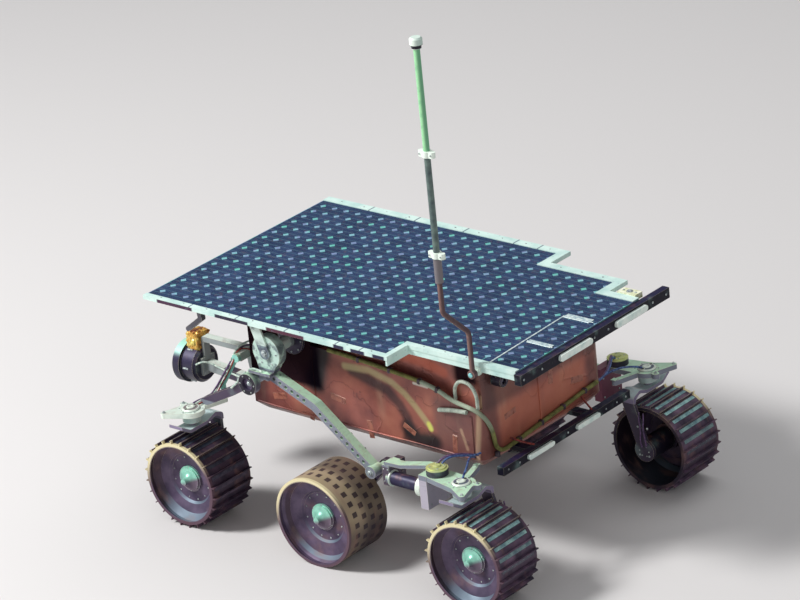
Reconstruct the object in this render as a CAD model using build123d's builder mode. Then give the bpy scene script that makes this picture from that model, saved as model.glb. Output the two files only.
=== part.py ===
from build123d import *
from math import atan2, cos, degrees, hypot, radians, sin, tan
import os

# Six-wheeled planetary rover, in millimetres.
# +X is the way it drives, +Y its left side, +Z up.
# The origin is on the ground below the middle of the whole vehicle.
# Sides are numbered: -1 is the right side, +1 the left side.

os.makedirs("parts", exist_ok=True)

RIGHT = -1
LEFT = 1
side_names = {RIGHT: "right", LEFT: "left"}

# Clearances
pin_clearance = 0.05
seat_gap = 0.3

# Wheels
tip_radius = 65.0
cleat_count = 24
cleat_height = 4.5
cleat_thickness = 1.4
wheel_width = 79.0
wheels_half_width = 242.0
rear_wheel_x = -230.0
middle_wheel_x = 13.0
front_wheel_x = 274.0
rim_wall = 2.0
rim_lip = 3.0
rim_edge = 5.0
rim_edge_depth = 5.0
dish_rim_depth = 17.0
dish_corner = 8.0
dish_step_depth = 21.0
dish_hub_depth = 24.0
dish_step_radius = 38.0
hub_radius = 19.0
hub_length = 14.0
axle_radius = 4.0
cap_flange = 3.0
cap_radius = 16.5
cap_length = 17.0
cap_dome = 12.0
axle_end_gap = 1.0

# Drive motors and yokes
motor_radius = 16.0
motor_gap = 3.0
strut_gap = 5.0
strut_thickness = 5.0
strut_width = 20.0
yoke_gap = 7.0
yoke_thickness = 5.0
yoke_width = 24.0
yoke_end_out = 33.5
yoke_end_rise = 10.0
yoke_flat = 17.5
yoke_shoulder = 10.0
yoke_shoulder_rise = 6.0
yoke_bend_radius = 6.0
steer_pin_radius = 6.0
front_trail = 24.0

# Steering housings on the ends of rockers and bogies
housing_radius = 13.0
housing_height = 20.0
housing_lid = 3.0
housing_edge = 1.5
housing_gap = 5.0
plate_rise = 15.5
plate_thickness = 7.0
plate_ring = 6.0
plate_tip_out = 29.0
plate_tip_along = 24.0
plate_tip_radius = 4.5
plate_arm_in = 52.0
plate_arm_along = 16.0
plate_arm_width = 8.0
plate_ear_out = 8.0
plate_ear_along = 21.0
plate_ear_radius = 5.0
plate_foot_height = 8.0

# Box
box_rear_x = -175.0
box_front_x = 231.0
box_half_width = 130.0
box_bottom_z = 146.0
box_top_z = 288.0
box_front_radius = 16.0
box_edge_cut = 12.0
side_panel_depth = 8.0
side_panel_top = [
    # x, z along the top edge of the side panel, rear to front
    (-62.0, 266.0),
    (82.0, 259.5),
    (134.0, 254.5),
    (163.0, 248.5),
    (184.0, 239.0),
    (210.0, 232.0),
]
belly_thickness = 3.0
belly_inset_x = 24.0
belly_inset_y = 54.0
hold_down_edge_x = 39.0
hold_down_edge_y = 16.0
hold_down_radius = 3.25
hold_down_depth = 12.0

# Solar deck
deck_z = 312.0
deck_thickness = 5.0
deck_rear_x = -301.0
deck_step_x = 136.0
deck_front_x = 317.0
deck_overhang = 8.7
deck_step = 44.0
left_step_x = 267.0
left_step = 40.0
right_border_width = 7.5
left_border_width = 12.5
border_height = 1.2
border_lip = 1.2
skirt_depth = 8.0
skirt_thickness = 3.0
post_size = 14.0
post_inset_x = 30.0
post_inset_y = 34.0
hook_y = 150.0
hook_width = 7.0
hook_thickness = 8.0
hook_points = [
    # x, z down from the deck
    (-245.0, 308.5),
    (-240.0, 277.0),
    (-266.0, 257.0),
]

# Bars across the front
bar_depth = 11.0
bar_height = 15.0
bar_drop = 12.0
bar_right_overhang = 4.0
bar_left_overhang = 14.0
block_thickness = 4.0
contact_block_height = 9.0
contact_block_spans = [(-77.0, -8.0), (44.0, 113.0)]
bumper_block_height = 7.0
bumper_block_spans = [(-88.0, -33.0), (17.0, 67.0)]
bumper_x = 258.0
bumper_z = 150.0
bumper_height = 12.0
bumper_half_width = 138.0
bumper_arm_y = 62.0
bumper_arm_width = 14.0
bumper_arm_height = 7.0

# Rockers
beam_offset = 7.0
beam_width = 14.0
beam_height = 12.0
pivot_x = -93.0
pivot_z = 270.0
pivot_boss_radius = 24.0
pivot_shaft_radius = 9.0
neck_x = -97.0
neck_z = 238.0
neck_width = 22.0
beam_bend_x = -17.0
beam_bend_z = 206.0
lightening_radius = 2.6
lightening_pitch = 11.0
arm_height = 12.0
arm_knee_x = -125.0
arm_knee_z = 220.0
arm_elbow_x = -166.0
arm_elbow_z = 196.0
arm_end_rise = 11.0
arm_boss_radius = 15.5
arm_boss_length = 11.0
arm_boss_bore = 9.0
arm_boss_bore_depth = 5.0
shelf_front_x = -84.0
shelf_rear_x = -122.0
shelf_z = 238.0
shelf_thickness = 4.0
shelf_width = 8.0
hanger_thickness = 3.0
hanger_width = 18.0
hanger_top_x = -108.0
flange_radius = 22.0
flange_thickness = 4.0

# Bogies
bogie_pivot_x = 78.0
bogie_pivot_z = 132.0
bogie_boss_radius = 8.5
bogie_pin_radius = 5.0
bogie_plate_thickness = 8.0
bogie_plate_height = 15.0
bogie_head_radius = 9.0
bogie_head_length = 4.0
cross_block_x = 102.0
cross_block_length = 12.0
cross_block_height = 30.0
arm_tube_radius = 9.5
arm_tube_z = 127.0
clamp_x = 157.0
clamp_length = 8.0
clamp_radius = 14.5
end_block_x = 184.0
end_block_length = 13.0
end_block_width = 45.0
end_block_bottom_z = 115.0
strap_thickness = 5.0
strap_width = 14.0
strap_bend_x = 128.0
strap_bend_z = 148.0
strap_end_x = 172.0
steer_motor_x = 205.0
steer_motor_in = 6.0
steer_motor_radius = 15.0
steer_motor_height = 10.0
steer_motor_rim = 1.5
steer_motor_lid = 3.0

# Differential across the rear
differential_z = 230.0
differential_x = -182.0
differential_depth = 9.0
differential_height = 12.0
differential_block = 36.0
link_radius = 3.0
link_boss_radius = 6.0
link_foot_z = 182.0
link_foot_radius = 4.0

# Mast
mast_x = 252.0
mast_hinge_z = 304.0
mast_knee_rise = 60.0
mast_shoulder_rise = 45.0
mast_sleeve_rise = 43.0
mast_sleeve_length = 34.0
mast_collar_rise = 139.0
mast_top_z = 786.0
mast_bend_radius = 14.0
mast_gap = 5.0
mast_lower_radius = 3.5
mast_sleeve_radius = 5.5
mast_upper_radius = 4.3
mast_eye_radius = 6.0
mast_pin_radius = 2.5
collar_radius = 6.5
collar_height = 8.0
lug_radius = 4.0
lug_offset = 9.0
cap_disc_radius = 8.5
cap_disc_height = 10.0
cap_neck_height = 5.0

# Sensor head on its arm
sensor_y = -90.0
sensor_z = 171.0
sensor_pivot_x = -205.0
sensor_pivot_z = 162.0
sensor_pin_radius = 4.0
head_radius = 27.0
head_ring_radius = 31.0
head_length = 38.0
head_ring_length = 12.0
head_inner_radius = 23.0
head_edge_cut = 4.0
head_plate_size = 26.0
head_plate_thickness = 4.0
sensor_arm_width = 12.0
sensor_arm_height = 14.0
sensor_chord_width = 8.0
sensor_chord_z = 212.0
sensor_chord_end_x = -213.0
sensor_ear_gap = 0.5
sensor_ear_thickness = 5.0
sensor_foot_height = 21.0
sensor_foot_rise = 3.5
foil_length = 24.0
foil_width = 30.0
foil_height = 24.0
foil_corner = 4.0

# Cameras under the deck and the small sensor on its corner
camera_radius = 9.0
camera_length = 16.0
lens_radius = 4.5
lens_depth = 8.0
camera_z = 266.0
camera_half_spacing = 95.0
corner_sensor_x = 296.0
corner_sensor_length = 30.0
corner_sensor_width = 16.0
corner_sensor_height = 8.0

# Cables held along the box
cable_radius = 3.0
bend_share = 0.45
edge_cable_side = [
    # x, z along the right side of the box, rear to front
    (-26.0, 268.0),
    (28.0, 265.5),
    (82.0, 261.2),
    (133.0, 256.5),
    (163.0, 250.5),
    (186.0, 240.0),
]
edge_cable_corner_z = 232.5
edge_cable_front = [
    # y, z across the front of the box, right to left
    (-113.0, 203.0),
    (-107.0, 161.5),
    (-60.0, 163.5),
    (-12.0, 168.0),
    (36.0, 171.5),
    (84.0, 175.5),
    (112.0, 177.0),
]
short_cable = [
    # x, z of the short cable below the edge cable
    (162.0, 221.0),
    (188.0, 226.0),
    (210.0, 227.5),
]
loop_radius = 2.5
cable_loop = [
    # x, distance inside the right side panel's face, z of the loop that stands on its top
    (187.0, 4.0, 239.0),
    (187.0, 4.0, 257.0),
    (199.0, 1.5, 270.0),
    (217.0, 1.5, 268.0),
    (224.0, 4.0, 252.0),
    (224.0, 4.0, 232.3),
]

# Values worked out from the sizes above
half_pitch = radians(180.0 / cleat_count)
axle_z = tip_radius * cos(half_pitch) + cleat_thickness / 2 * sin(half_pitch)
wheel_inner_y = wheels_half_width - wheel_width
wheel_y = wheels_half_width - wheel_width / 2
rim_radius = tip_radius - cleat_height
strut_outer_y = wheel_inner_y - strut_gap
strut_inner_y = strut_outer_y - strut_thickness
yoke_z = axle_z + tip_radius + yoke_gap
yoke_top_z = yoke_z + yoke_thickness
housing_z = yoke_top_z + housing_gap
plate_z = yoke_top_z + plate_rise
plate_top_z = plate_z + plate_thickness
plate_ring_radius = housing_radius + seat_gap + plate_ring
hub_face_y = wheels_half_width - dish_hub_depth
hub_inner_y = hub_face_y - hub_length
beam_inner_y = wheel_inner_y + beam_offset
beam_outer_y = beam_inner_y + beam_width
beam_y = (beam_inner_y + beam_outer_y) / 2
hanger_y = beam_outer_y + seat_gap
deck_half_width = hanger_y + hanger_thickness + deck_overhang
deck_side_y = deck_half_width - deck_step
left_front_y = deck_side_y - left_step
deck_top_z = deck_z + deck_thickness
half_length = front_wheel_x + axle_z
box_middle_x = (box_front_x + box_rear_x) / 2
front_steer_x = front_wheel_x - front_trail
mast_knee_z = mast_hinge_z + mast_knee_rise
mast_shoulder_z = mast_knee_z + mast_shoulder_rise
mast_sleeve_z = mast_shoulder_z + mast_sleeve_rise
mast_joint_z = mast_sleeve_z + mast_sleeve_length
mast_collar_z = mast_joint_z + mast_collar_rise
mast_inner_y = deck_side_y + border_lip + mast_gap + mast_lower_radius
mast_outer_y = deck_half_width + border_lip + mast_gap + collar_radius
link_y = wheel_y - plate_arm_in
link_foot_x = rear_wheel_x + plate_arm_along
steer_motor_y = wheel_y - steer_motor_in
head_rear_x = -half_length
head_front_x = head_rear_x + head_length

corner_wheels = {
    # wheel: x of its axle, side
    "front_right": (front_wheel_x, RIGHT),
    "front_left": (front_wheel_x, LEFT),
    "rear_right": (rear_wheel_x, RIGHT),
    "rear_left": (rear_wheel_x, LEFT),
}
steer_axes = {
    # corner wheel: x of its steering axis
    "front_right": front_steer_x,
    "front_left": front_steer_x,
    "rear_right": rear_wheel_x,
    "rear_left": rear_wheel_x,
}
middle_wheels = {
    "middle_right": (middle_wheel_x, RIGHT),
    "middle_left": (middle_wheel_x, LEFT),
}
all_wheels = {**corner_wheels, **middle_wheels}


def save(piece, name):
    piece.part.label = name
    export_step(piece.part, "parts/" + name + ".step")


def side_plane(y):
    """Upright plane along the vehicle at y; extruding goes towards the right."""
    return Plane.XZ.offset(-y)


def axle_plane(x, side, z):
    """Plane for turned parts: local x is the radius, local y the distance from the middle."""
    return Plane(origin=(x, 0, z), x_dir=(0, 0, 1), z_dir=(-side, 0, 0))


def across_plane(x, side, y, z):
    """Plane square to an axle, facing outboard, at the distance y from the middle."""
    return Plane(origin=(x, side * y, z), x_dir=(-side, 0, 0), z_dir=(0, side, 0))


def bar_profile(points, width):
    """Draws a bent bar of constant width with round joints, in the open sketch."""
    for (x0, z0), (x1, z1) in zip(points, points[1:]):
        with Locations(((x0 + x1) / 2, (z0 + z1) / 2)):
            SlotCenterToCenter(
                hypot(x1 - x0, z1 - z0), width, rotation=degrees(atan2(z1 - z0, x1 - x0))
            )


def taper(start, end, start_radius, end_radius):
    """Draws a bar with round ends, each end of its own radius, in the open sketch."""
    (x0, y0), (x1, y1) = start, end
    run = hypot(x1 - x0, y1 - y0)
    across_x = (y0 - y1) / run
    across_y = (x1 - x0) / run
    Polygon(
        (x0 + across_x * start_radius, y0 + across_y * start_radius),
        (x0 - across_x * start_radius, y0 - across_y * start_radius),
        (x1 - across_x * end_radius, y1 - across_y * end_radius),
        (x1 + across_x * end_radius, y1 + across_y * end_radius),
        align=None,
    )
    for place, radius in ((start, start_radius), (end, end_radius)):
        with Locations(place):
            Circle(radius)


# Wheels: an open drum with a dished outer face, and thin cleats across the tread.
# The right middle wheel has a smooth tread instead, as large as the others roll.
def wheel(name, x, side, smooth):
    outer_radius = axle_z if smooth else rim_radius
    inner_radius = outer_radius - rim_wall
    bore_radius = axle_radius + pin_clearance
    rim_y = wheels_half_width - dish_rim_depth
    step_y = wheels_half_width - dish_step_depth
    well_radius = dish_step_radius - (dish_hub_depth - dish_step_depth)
    profile = [
        (outer_radius, wheel_inner_y),
        (outer_radius, wheels_half_width),
        (outer_radius - rim_edge, wheels_half_width),
        (inner_radius, wheels_half_width - rim_edge_depth),
        (inner_radius, rim_y + dish_corner),
        (inner_radius - dish_corner, rim_y),
        (dish_step_radius, step_y),
        (well_radius, hub_face_y),
        (bore_radius, hub_face_y),
        (bore_radius, hub_inner_y),
        (hub_radius, hub_inner_y),
        (hub_radius, hub_face_y - rim_wall),
        (well_radius, hub_face_y - rim_wall),
        (dish_step_radius, step_y - rim_wall),
        (inner_radius - dish_corner, rim_y - rim_wall),
        (inner_radius, rim_y + dish_corner - rim_wall),
        (inner_radius, wheel_inner_y + rim_wall),
        (inner_radius - rim_lip, wheel_inner_y + rim_wall),
        (inner_radius - rim_lip, wheel_inner_y),
    ]
    with BuildPart() as rim:
        with BuildSketch(axle_plane(x, side, axle_z)):
            with BuildLine():
                Polyline(*profile, close=True)
            make_face()
        revolve(axis=Axis((x, 0, axle_z), (0, 1, 0)))
        if not smooth:
            with BuildSketch(across_plane(x, side, wheel_inner_y, axle_z)):
                root_radius = rim_radius - rim_wall / 2
                with PolarLocations(
                    (tip_radius + root_radius) / 2, cleat_count, start_angle=degrees(half_pitch)
                ):
                    Rectangle(tip_radius - root_radius, cleat_thickness)
            extrude(amount=wheel_width)
    save(rim, "wheel_" + name)


def hub_cap(name, x, side):
    tip_y = hub_face_y + cap_length
    with BuildPart() as cap:
        with BuildSketch(axle_plane(x, side, axle_z)):
            with BuildLine():
                Polyline(
                    (0, tip_y),
                    (0, hub_face_y + axle_end_gap),
                    (axle_radius + axle_end_gap, hub_face_y + axle_end_gap),
                    (axle_radius + axle_end_gap, hub_face_y),
                    (hub_radius, hub_face_y),
                    (hub_radius, hub_face_y + cap_flange),
                    (cap_radius, hub_face_y + cap_flange),
                    (cap_radius, tip_y - cap_dome),
                )
                RadiusArc((cap_radius, tip_y - cap_dome), (cap_radius - cap_dome, tip_y), cap_dome)
                Line((cap_radius - cap_dome, tip_y), (0, tip_y))
            make_face()
        revolve(axis=Axis((x, 0, axle_z), (0, 1, 0)))
    save(cap, "hub_cap_" + name)


# Drive motors: a can inside the drum with its output shaft in the hub.
def drive_motor(name, x, side):
    with BuildPart() as motor:
        with BuildSketch(across_plane(x, side, strut_outer_y, axle_z)):
            Circle(motor_radius)
        extrude(amount=hub_inner_y - motor_gap - strut_outer_y)
        with BuildSketch(across_plane(x, side, hub_inner_y - motor_gap, axle_z)):
            Circle(axle_radius)
        extrude(amount=motor_gap + hub_length)
    save(motor, "drive_motor_" + name)


for wheel_name, (wheel_x, wheel_side) in all_wheels.items():
    wheel(wheel_name, wheel_x, wheel_side, smooth=wheel_name == "middle_right")
    hub_cap(wheel_name, wheel_x, wheel_side)
    drive_motor(wheel_name, wheel_x, wheel_side)


# Yokes: a bent saddle over the wheel, a strut down its inner side and the steering pin.
# The front struts lean, so that the steering axis stands behind the front axle.
def yoke(name, x, steer_x, side):
    saddle_top = [
        (wheel_y + yoke_end_out, yoke_top_z + yoke_end_rise),
        (wheel_y + yoke_flat, yoke_top_z),
        (wheel_y - yoke_flat, yoke_top_z),
        (strut_outer_y + yoke_shoulder, yoke_top_z + yoke_shoulder_rise),
        (strut_inner_y, yoke_top_z),
        (strut_inner_y, yoke_z - yoke_thickness),
    ]
    saddle_bottom = [
        (wheel_y + yoke_end_out, yoke_z + yoke_end_rise),
        (wheel_y + yoke_flat, yoke_z),
        (wheel_y - yoke_flat, yoke_z),
        (strut_outer_y + yoke_shoulder, yoke_z + yoke_shoulder_rise),
        (strut_outer_y, yoke_z),
        (strut_outer_y, yoke_z - yoke_thickness),
    ]
    with BuildPart() as bracket:
        with BuildSketch(Plane.YZ.offset(steer_x)):
            with BuildLine():
                top = FilletPolyline(*[(side * y, z) for y, z in saddle_top], radius=yoke_bend_radius)
                bottom = FilletPolyline(
                    *[(side * y, z) for y, z in saddle_bottom], radius=yoke_bend_radius
                )
                Line(top @ 0, bottom @ 0)
                Line(top @ 1, bottom @ 1)
            make_face()
        extrude(amount=yoke_width / 2, both=True)
        with BuildSketch(side_plane(side * (strut_inner_y + strut_outer_y) / 2)):
            Polygon(
                (steer_x - strut_width / 2, yoke_z),
                (x - strut_width / 2, axle_z),
                (x + strut_width / 2, axle_z),
                (steer_x + strut_width / 2, yoke_z),
                align=None,
            )
            with Locations((x, axle_z)):
                Circle(motor_radius)
        extrude(amount=strut_thickness / 2, both=True)
        with BuildSketch(Plane.XY.offset(yoke_top_z)):
            with Locations((steer_x, side * wheel_y)):
                Circle(steer_pin_radius)
        extrude(amount=housing_gap + housing_height - housing_lid - axle_end_gap)
    save(bracket, "yoke_" + name)


def steering_housing(name, steer_x, side):
    with BuildPart() as housing:
        with BuildSketch(Plane.XY.offset(housing_z)):
            with Locations((steer_x, side * wheel_y)):
                Circle(housing_radius)
        extrude(amount=housing_height)
        chamfer(housing.faces().sort_by(Axis.Z)[-1].edges(), housing_edge)
        with BuildSketch(Plane.XY.offset(housing_z)):
            with Locations((steer_x, side * wheel_y)):
                Circle(steer_pin_radius + pin_clearance)
        extrude(amount=housing_height - housing_lid, mode=Mode.SUBTRACT)
    save(housing, "steering_housing_" + name)


for wheel_name, (wheel_x, wheel_side) in corner_wheels.items():
    axis_x = steer_axes[wheel_name]
    yoke(wheel_name, wheel_x, axis_x, wheel_side)
    steering_housing(wheel_name, axis_x, wheel_side)


# End plate that holds a steering housing: a ring with a tip outboard, an ear beside it
# and an arm inboard. It points forward (1) on a bogie and backward (-1) on a rocker.
def steering_plate(steer_x, side, forward):
    axis = (steer_x, side * wheel_y)
    tip = (steer_x + forward * plate_tip_along, side * (wheel_y + plate_tip_out))
    ear = (steer_x + forward * plate_ear_along, side * (wheel_y - plate_ear_out))
    arm_end = (steer_x - forward * plate_arm_along, side * (wheel_y - plate_arm_in))
    with BuildSketch(Plane.XY.offset(plate_z)) as outline:
        taper(axis, tip, plate_ring_radius, plate_tip_radius)
        taper(axis, ear, plate_ear_radius, plate_ear_radius)
        bar_profile([axis, arm_end], plate_arm_width)
    return outline.sketch


# Rockers: a neck below the main pivot, a holed beam down to the bogie, and a rear arm.
def rocker(side):
    neck = (neck_x, neck_z)
    beam = [neck, (beam_bend_x, beam_bend_z), (bogie_pivot_x, bogie_pivot_z)]
    rear_arm = [
        neck,
        (arm_knee_x, arm_knee_z),
        (arm_elbow_x, arm_elbow_z),
        (rear_wheel_x + plate_arm_along * (wheel_y - beam_y) / plate_arm_in, plate_z + arm_end_rise),
    ]
    rear_plate = steering_plate(rear_wheel_x, side, -1)
    with BuildPart() as body:
        with BuildSketch(side_plane(side * beam_y)):
            taper((pivot_x, pivot_z), neck, pivot_boss_radius, neck_width / 2)
            bar_profile(beam, beam_height)
            bar_profile(rear_arm, arm_height)
            with Locations((bogie_pivot_x, bogie_pivot_z)):
                Circle(bogie_boss_radius)
        extrude(amount=beam_width / 2, both=True)
        with BuildSketch(across_plane(arm_knee_x, side, beam_outer_y, arm_knee_z)):
            Circle(arm_boss_radius)
        extrude(amount=arm_boss_length)
        with BuildSketch(Plane.XY.offset(shelf_z)):
            with Locations(((shelf_front_x + shelf_rear_x) / 2, side * (beam_outer_y + shelf_width / 2))):
                Rectangle(shelf_front_x - shelf_rear_x, shelf_width)
        extrude(amount=shelf_thickness)
        extrude(rear_plate, amount=plate_thickness)
        with BuildSketch(Plane.XY.offset(plate_z)):
            with Locations((rear_wheel_x, side * wheel_y)):
                Circle(housing_radius + seat_gap)
        extrude(amount=arm_height + plate_thickness, mode=Mode.SUBTRACT)
        boss_face_y = beam_outer_y + arm_boss_length
        with BuildSketch(across_plane(arm_knee_x, side, boss_face_y - arm_boss_bore_depth, arm_knee_z)):
            Circle(arm_boss_bore)
        extrude(amount=arm_boss_bore_depth, mode=Mode.SUBTRACT)
        with BuildSketch(side_plane(side * beam_y)):
            with Locations((pivot_x, pivot_z)):
                Circle(pivot_shaft_radius + seat_gap)
            with Locations((bogie_pivot_x, bogie_pivot_z)):
                Circle(bogie_pin_radius + seat_gap)
            for (x0, z0), (x1, z1) in zip(beam, beam[1:]):
                run = hypot(x1 - x0, z1 - z0)
                count = int((run - 2 * bogie_boss_radius) / lightening_pitch)
                for i in range(count):
                    along = (bogie_boss_radius + (i + 0.5) * lightening_pitch) / run
                    with Locations((x0 + (x1 - x0) * along, z0 + (z1 - z0) * along)):
                        Circle(lightening_radius)
        extrude(amount=beam_width, both=True, mode=Mode.SUBTRACT)
    save(body, "rocker_" + side_names[side])


# Bogies: a plate inboard of the middle wheel with the pivot pin, a cross block, a tube and
# a strap forward to the end block, and the end plate of the front wheel's steering.
def bogie(side):
    plate_y = strut_outer_y - bogie_plate_thickness / 2
    block_inner_y = strut_outer_y - bogie_plate_thickness
    block_top_z = bogie_pivot_z + cross_block_height / 2
    end_block_middle_x = end_block_x + end_block_length / 2
    end_block_y = steer_motor_y + steer_motor_radius - end_block_width / 2
    strap = [
        (cross_block_x, block_top_z + strap_thickness / 2),
        (strap_bend_x, strap_bend_z + strap_thickness / 2),
        (strap_end_x, plate_z + plate_thickness / 2),
        (end_block_middle_x, plate_z + plate_thickness / 2),
    ]
    front_plate = steering_plate(front_steer_x, side, 1)
    with BuildPart() as body:
        with BuildSketch(side_plane(side * plate_y)):
            bar_profile(
                [(middle_wheel_x, axle_z), (bogie_pivot_x, bogie_pivot_z), (cross_block_x, bogie_pivot_z)],
                bogie_plate_height,
            )
            with Locations((middle_wheel_x, axle_z)):
                Circle(motor_radius)
        extrude(amount=bogie_plate_thickness / 2, both=True)
        with BuildSketch(across_plane(bogie_pivot_x, side, strut_outer_y, bogie_pivot_z)):
            Circle(bogie_pin_radius)
        extrude(amount=beam_outer_y + seat_gap + bogie_head_length - strut_outer_y)
        with BuildSketch(across_plane(bogie_pivot_x, side, beam_outer_y + seat_gap, bogie_pivot_z)):
            Circle(bogie_head_radius)
        extrude(amount=bogie_head_length)
        with BuildSketch(Plane.XY.offset(block_top_z - cross_block_height)):
            with Locations((cross_block_x, side * (block_inner_y + beam_outer_y) / 2)):
                Rectangle(cross_block_length, beam_outer_y - block_inner_y)
        extrude(amount=cross_block_height)
        for start_x, end_x, radius in (
            (cross_block_x, end_block_middle_x, arm_tube_radius),
            (clamp_x, clamp_x + clamp_length, clamp_radius),
        ):
            with BuildSketch(Plane.YZ.offset(start_x)):
                with Locations((side * beam_y, arm_tube_z)):
                    Circle(radius)
            extrude(amount=end_x - start_x)
        with BuildSketch(Plane.XY.offset(end_block_bottom_z)):
            with Locations((end_block_middle_x, side * end_block_y)):
                Rectangle(end_block_length, end_block_width)
        extrude(amount=plate_top_z - end_block_bottom_z)
        with BuildSketch(side_plane(side * beam_y)):
            bar_profile(strap, strap_thickness)
        extrude(amount=strap_width / 2, both=True)
        extrude(front_plate, amount=plate_thickness)
        with BuildSketch(Plane.XY.offset(plate_z)):
            taper(
                (front_steer_x, side * wheel_y),
                (steer_motor_x, side * steer_motor_y),
                plate_ring_radius,
                steer_motor_radius + steer_motor_rim,
            )
        extrude(amount=plate_thickness)
        with BuildSketch(Plane.XY.offset(plate_z)):
            with Locations((front_steer_x, side * wheel_y)):
                Circle(housing_radius + seat_gap)
        extrude(amount=plate_thickness, mode=Mode.SUBTRACT)
        foot_x = front_steer_x - plate_arm_along
        foot_y = wheel_y - plate_arm_in
        with BuildSketch(Plane.XY.offset(plate_top_z)):
            with Locations((foot_x, side * foot_y)):
                Rectangle(plate_arm_width, plate_arm_width)
        extrude(amount=plate_foot_height - plate_thickness)
    save(body, "bogie_" + side_names[side])


def steering_motor(side):
    with BuildPart() as can:
        with BuildSketch(Plane.XY.offset(plate_top_z)):
            with Locations((steer_motor_x, side * steer_motor_y)):
                Circle(steer_motor_radius)
        extrude(amount=steer_motor_height)
        with BuildSketch(Plane.XY.offset(plate_top_z + steer_motor_height)):
            with Locations((steer_motor_x, side * steer_motor_y)):
                Circle(steer_motor_radius - steer_motor_lid)
        extrude(amount=steer_motor_rim)
    save(can, "steering_motor_front_" + side_names[side])


# Rocker pivots: a flange on the box, a shaft through the rocker and a hanger to the deck.
def rocker_pivot(side):
    with BuildPart() as pivot:
        with BuildSketch(across_plane(pivot_x, side, box_half_width, pivot_z)):
            Circle(flange_radius)
            with Locations((0, box_top_z - pivot_z + flange_radius)):
                Rectangle(2 * flange_radius, 2 * flange_radius, mode=Mode.SUBTRACT)
        extrude(amount=flange_thickness)
        with BuildSketch(across_plane(pivot_x, side, box_half_width, pivot_z)):
            Circle(pivot_shaft_radius)
        extrude(amount=hanger_y + hanger_thickness - box_half_width)
        with BuildSketch(side_plane(side * (hanger_y + hanger_thickness / 2))):
            Polygon(
                (pivot_x - hanger_width / 2, pivot_z),
                (pivot_x + hanger_width / 2, pivot_z),
                (hanger_top_x + hanger_width / 2, deck_z),
                (hanger_top_x - hanger_width / 2, deck_z),
                align=None,
            )
            with Locations((pivot_x, pivot_z)):
                Circle(hanger_width / 2)
        extrude(amount=hanger_thickness / 2, both=True)
    save(pivot, "rocker_pivot_" + side_names[side])


for each_side in (RIGHT, LEFT):
    rocker(each_side)
    bogie(each_side)
    steering_motor(each_side)
    rocker_pivot(each_side)


# Box: the closed equipment body with round front corners. Its side panels stand proud
# below a sloping edge. The belly plate has the four hold-down holes.
belly_length = box_front_x - box_rear_x - 2 * belly_inset_x
belly_width = 2 * (box_half_width - belly_inset_y)
hold_down_x = belly_length - 2 * hold_down_edge_x
hold_down_y = belly_width - 2 * hold_down_edge_y

with BuildPart() as body_box:
    with BuildSketch(Plane.XY.offset(box_bottom_z)):
        with Locations((box_middle_x, 0)):
            Rectangle(box_front_x - box_rear_x, 2 * box_half_width)
    extrude(amount=box_top_z - box_bottom_z)
    fillet(body_box.edges().filter_by(Axis.Z).group_by(Axis.X)[-1], box_front_radius)
    chamfer(body_box.faces().sort_by(Axis.Z)[0].edges(), box_edge_cut)
    for panel_side in (RIGHT, LEFT):
        with BuildSketch(side_plane(panel_side * box_half_width)):
            Polygon(
                (side_panel_top[0][0], box_top_z),
                *side_panel_top,
                (box_front_x, side_panel_top[-1][1]),
                (box_front_x, box_top_z),
                align=None,
            )
        extrude(amount=side_panel_depth, both=True, mode=Mode.SUBTRACT)
    with BuildSketch(Plane.XY.offset(box_bottom_z)):
        with Locations((box_middle_x, 0)):
            with GridLocations(hold_down_x, hold_down_y, 2, 2):
                Circle(hold_down_radius)
    extrude(amount=hold_down_depth, mode=Mode.SUBTRACT)
save(body_box, "body_box")

with BuildPart() as belly_plate:
    with BuildSketch(Plane.XY.offset(box_bottom_z)):
        with Locations((box_middle_x, 0)):
            Rectangle(belly_length, belly_width)
            with GridLocations(hold_down_x, hold_down_y, 2, 2):
                Circle(hold_down_radius, mode=Mode.SUBTRACT)
    extrude(amount=-belly_thickness)
save(belly_plate, "belly_plate")

# Solar deck: a thin stepped board on posts, with bent border strips along its two sides.
right_edge = [
    (deck_rear_x, -deck_half_width),
    (deck_step_x, -deck_half_width),
    (deck_step_x, -deck_side_y),
    (deck_front_x, -deck_side_y),
]
left_edge = [
    (deck_rear_x, deck_half_width),
    (deck_step_x, deck_half_width),
    (deck_step_x, deck_side_y),
    (left_step_x, deck_side_y),
    (left_step_x, left_front_y),
    (deck_front_x, left_front_y),
]
with BuildPart() as panel_deck:
    with BuildSketch(Plane.XY.offset(deck_z)):
        with BuildLine():
            Polyline(*right_edge, *reversed(left_edge), close=True)
        make_face()
    extrude(amount=deck_thickness)
save(panel_deck, "panel_deck")


def edge_strip(edge, side, inside, outside):
    """Draws a strip along one stepped edge of the deck, so wide inside and outside it."""
    for i, ((x0, y0), (x1, y1)) in enumerate(zip(edge, edge[1:])):
        if y0 == y1:
            length = x1 - x0 + (outside if i < len(edge) - 2 else 0)
            with Locations((x0 + length / 2, y0 + side * (outside - inside) / 2)):
                Rectangle(length, inside + outside)
        else:
            length = abs(y1 - y0) + inside
            with Locations((x0 + (outside - inside) / 2, y0 - side * length / 2)):
                Rectangle(inside + outside, length)


def border(edge, side, width):
    with BuildPart() as strip:
        with BuildSketch(Plane.XY.offset(deck_top_z)):
            edge_strip(edge, side, width, border_lip)
        extrude(amount=border_height)
        with BuildSketch(Plane.XY.offset(deck_z)):
            edge_strip(edge, side, 0, border_lip)
        extrude(amount=deck_thickness)
    save(strip, "panel_border_" + side_names[side])


border(right_edge, RIGHT, right_border_width)
border(left_edge, LEFT, left_border_width)

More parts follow.
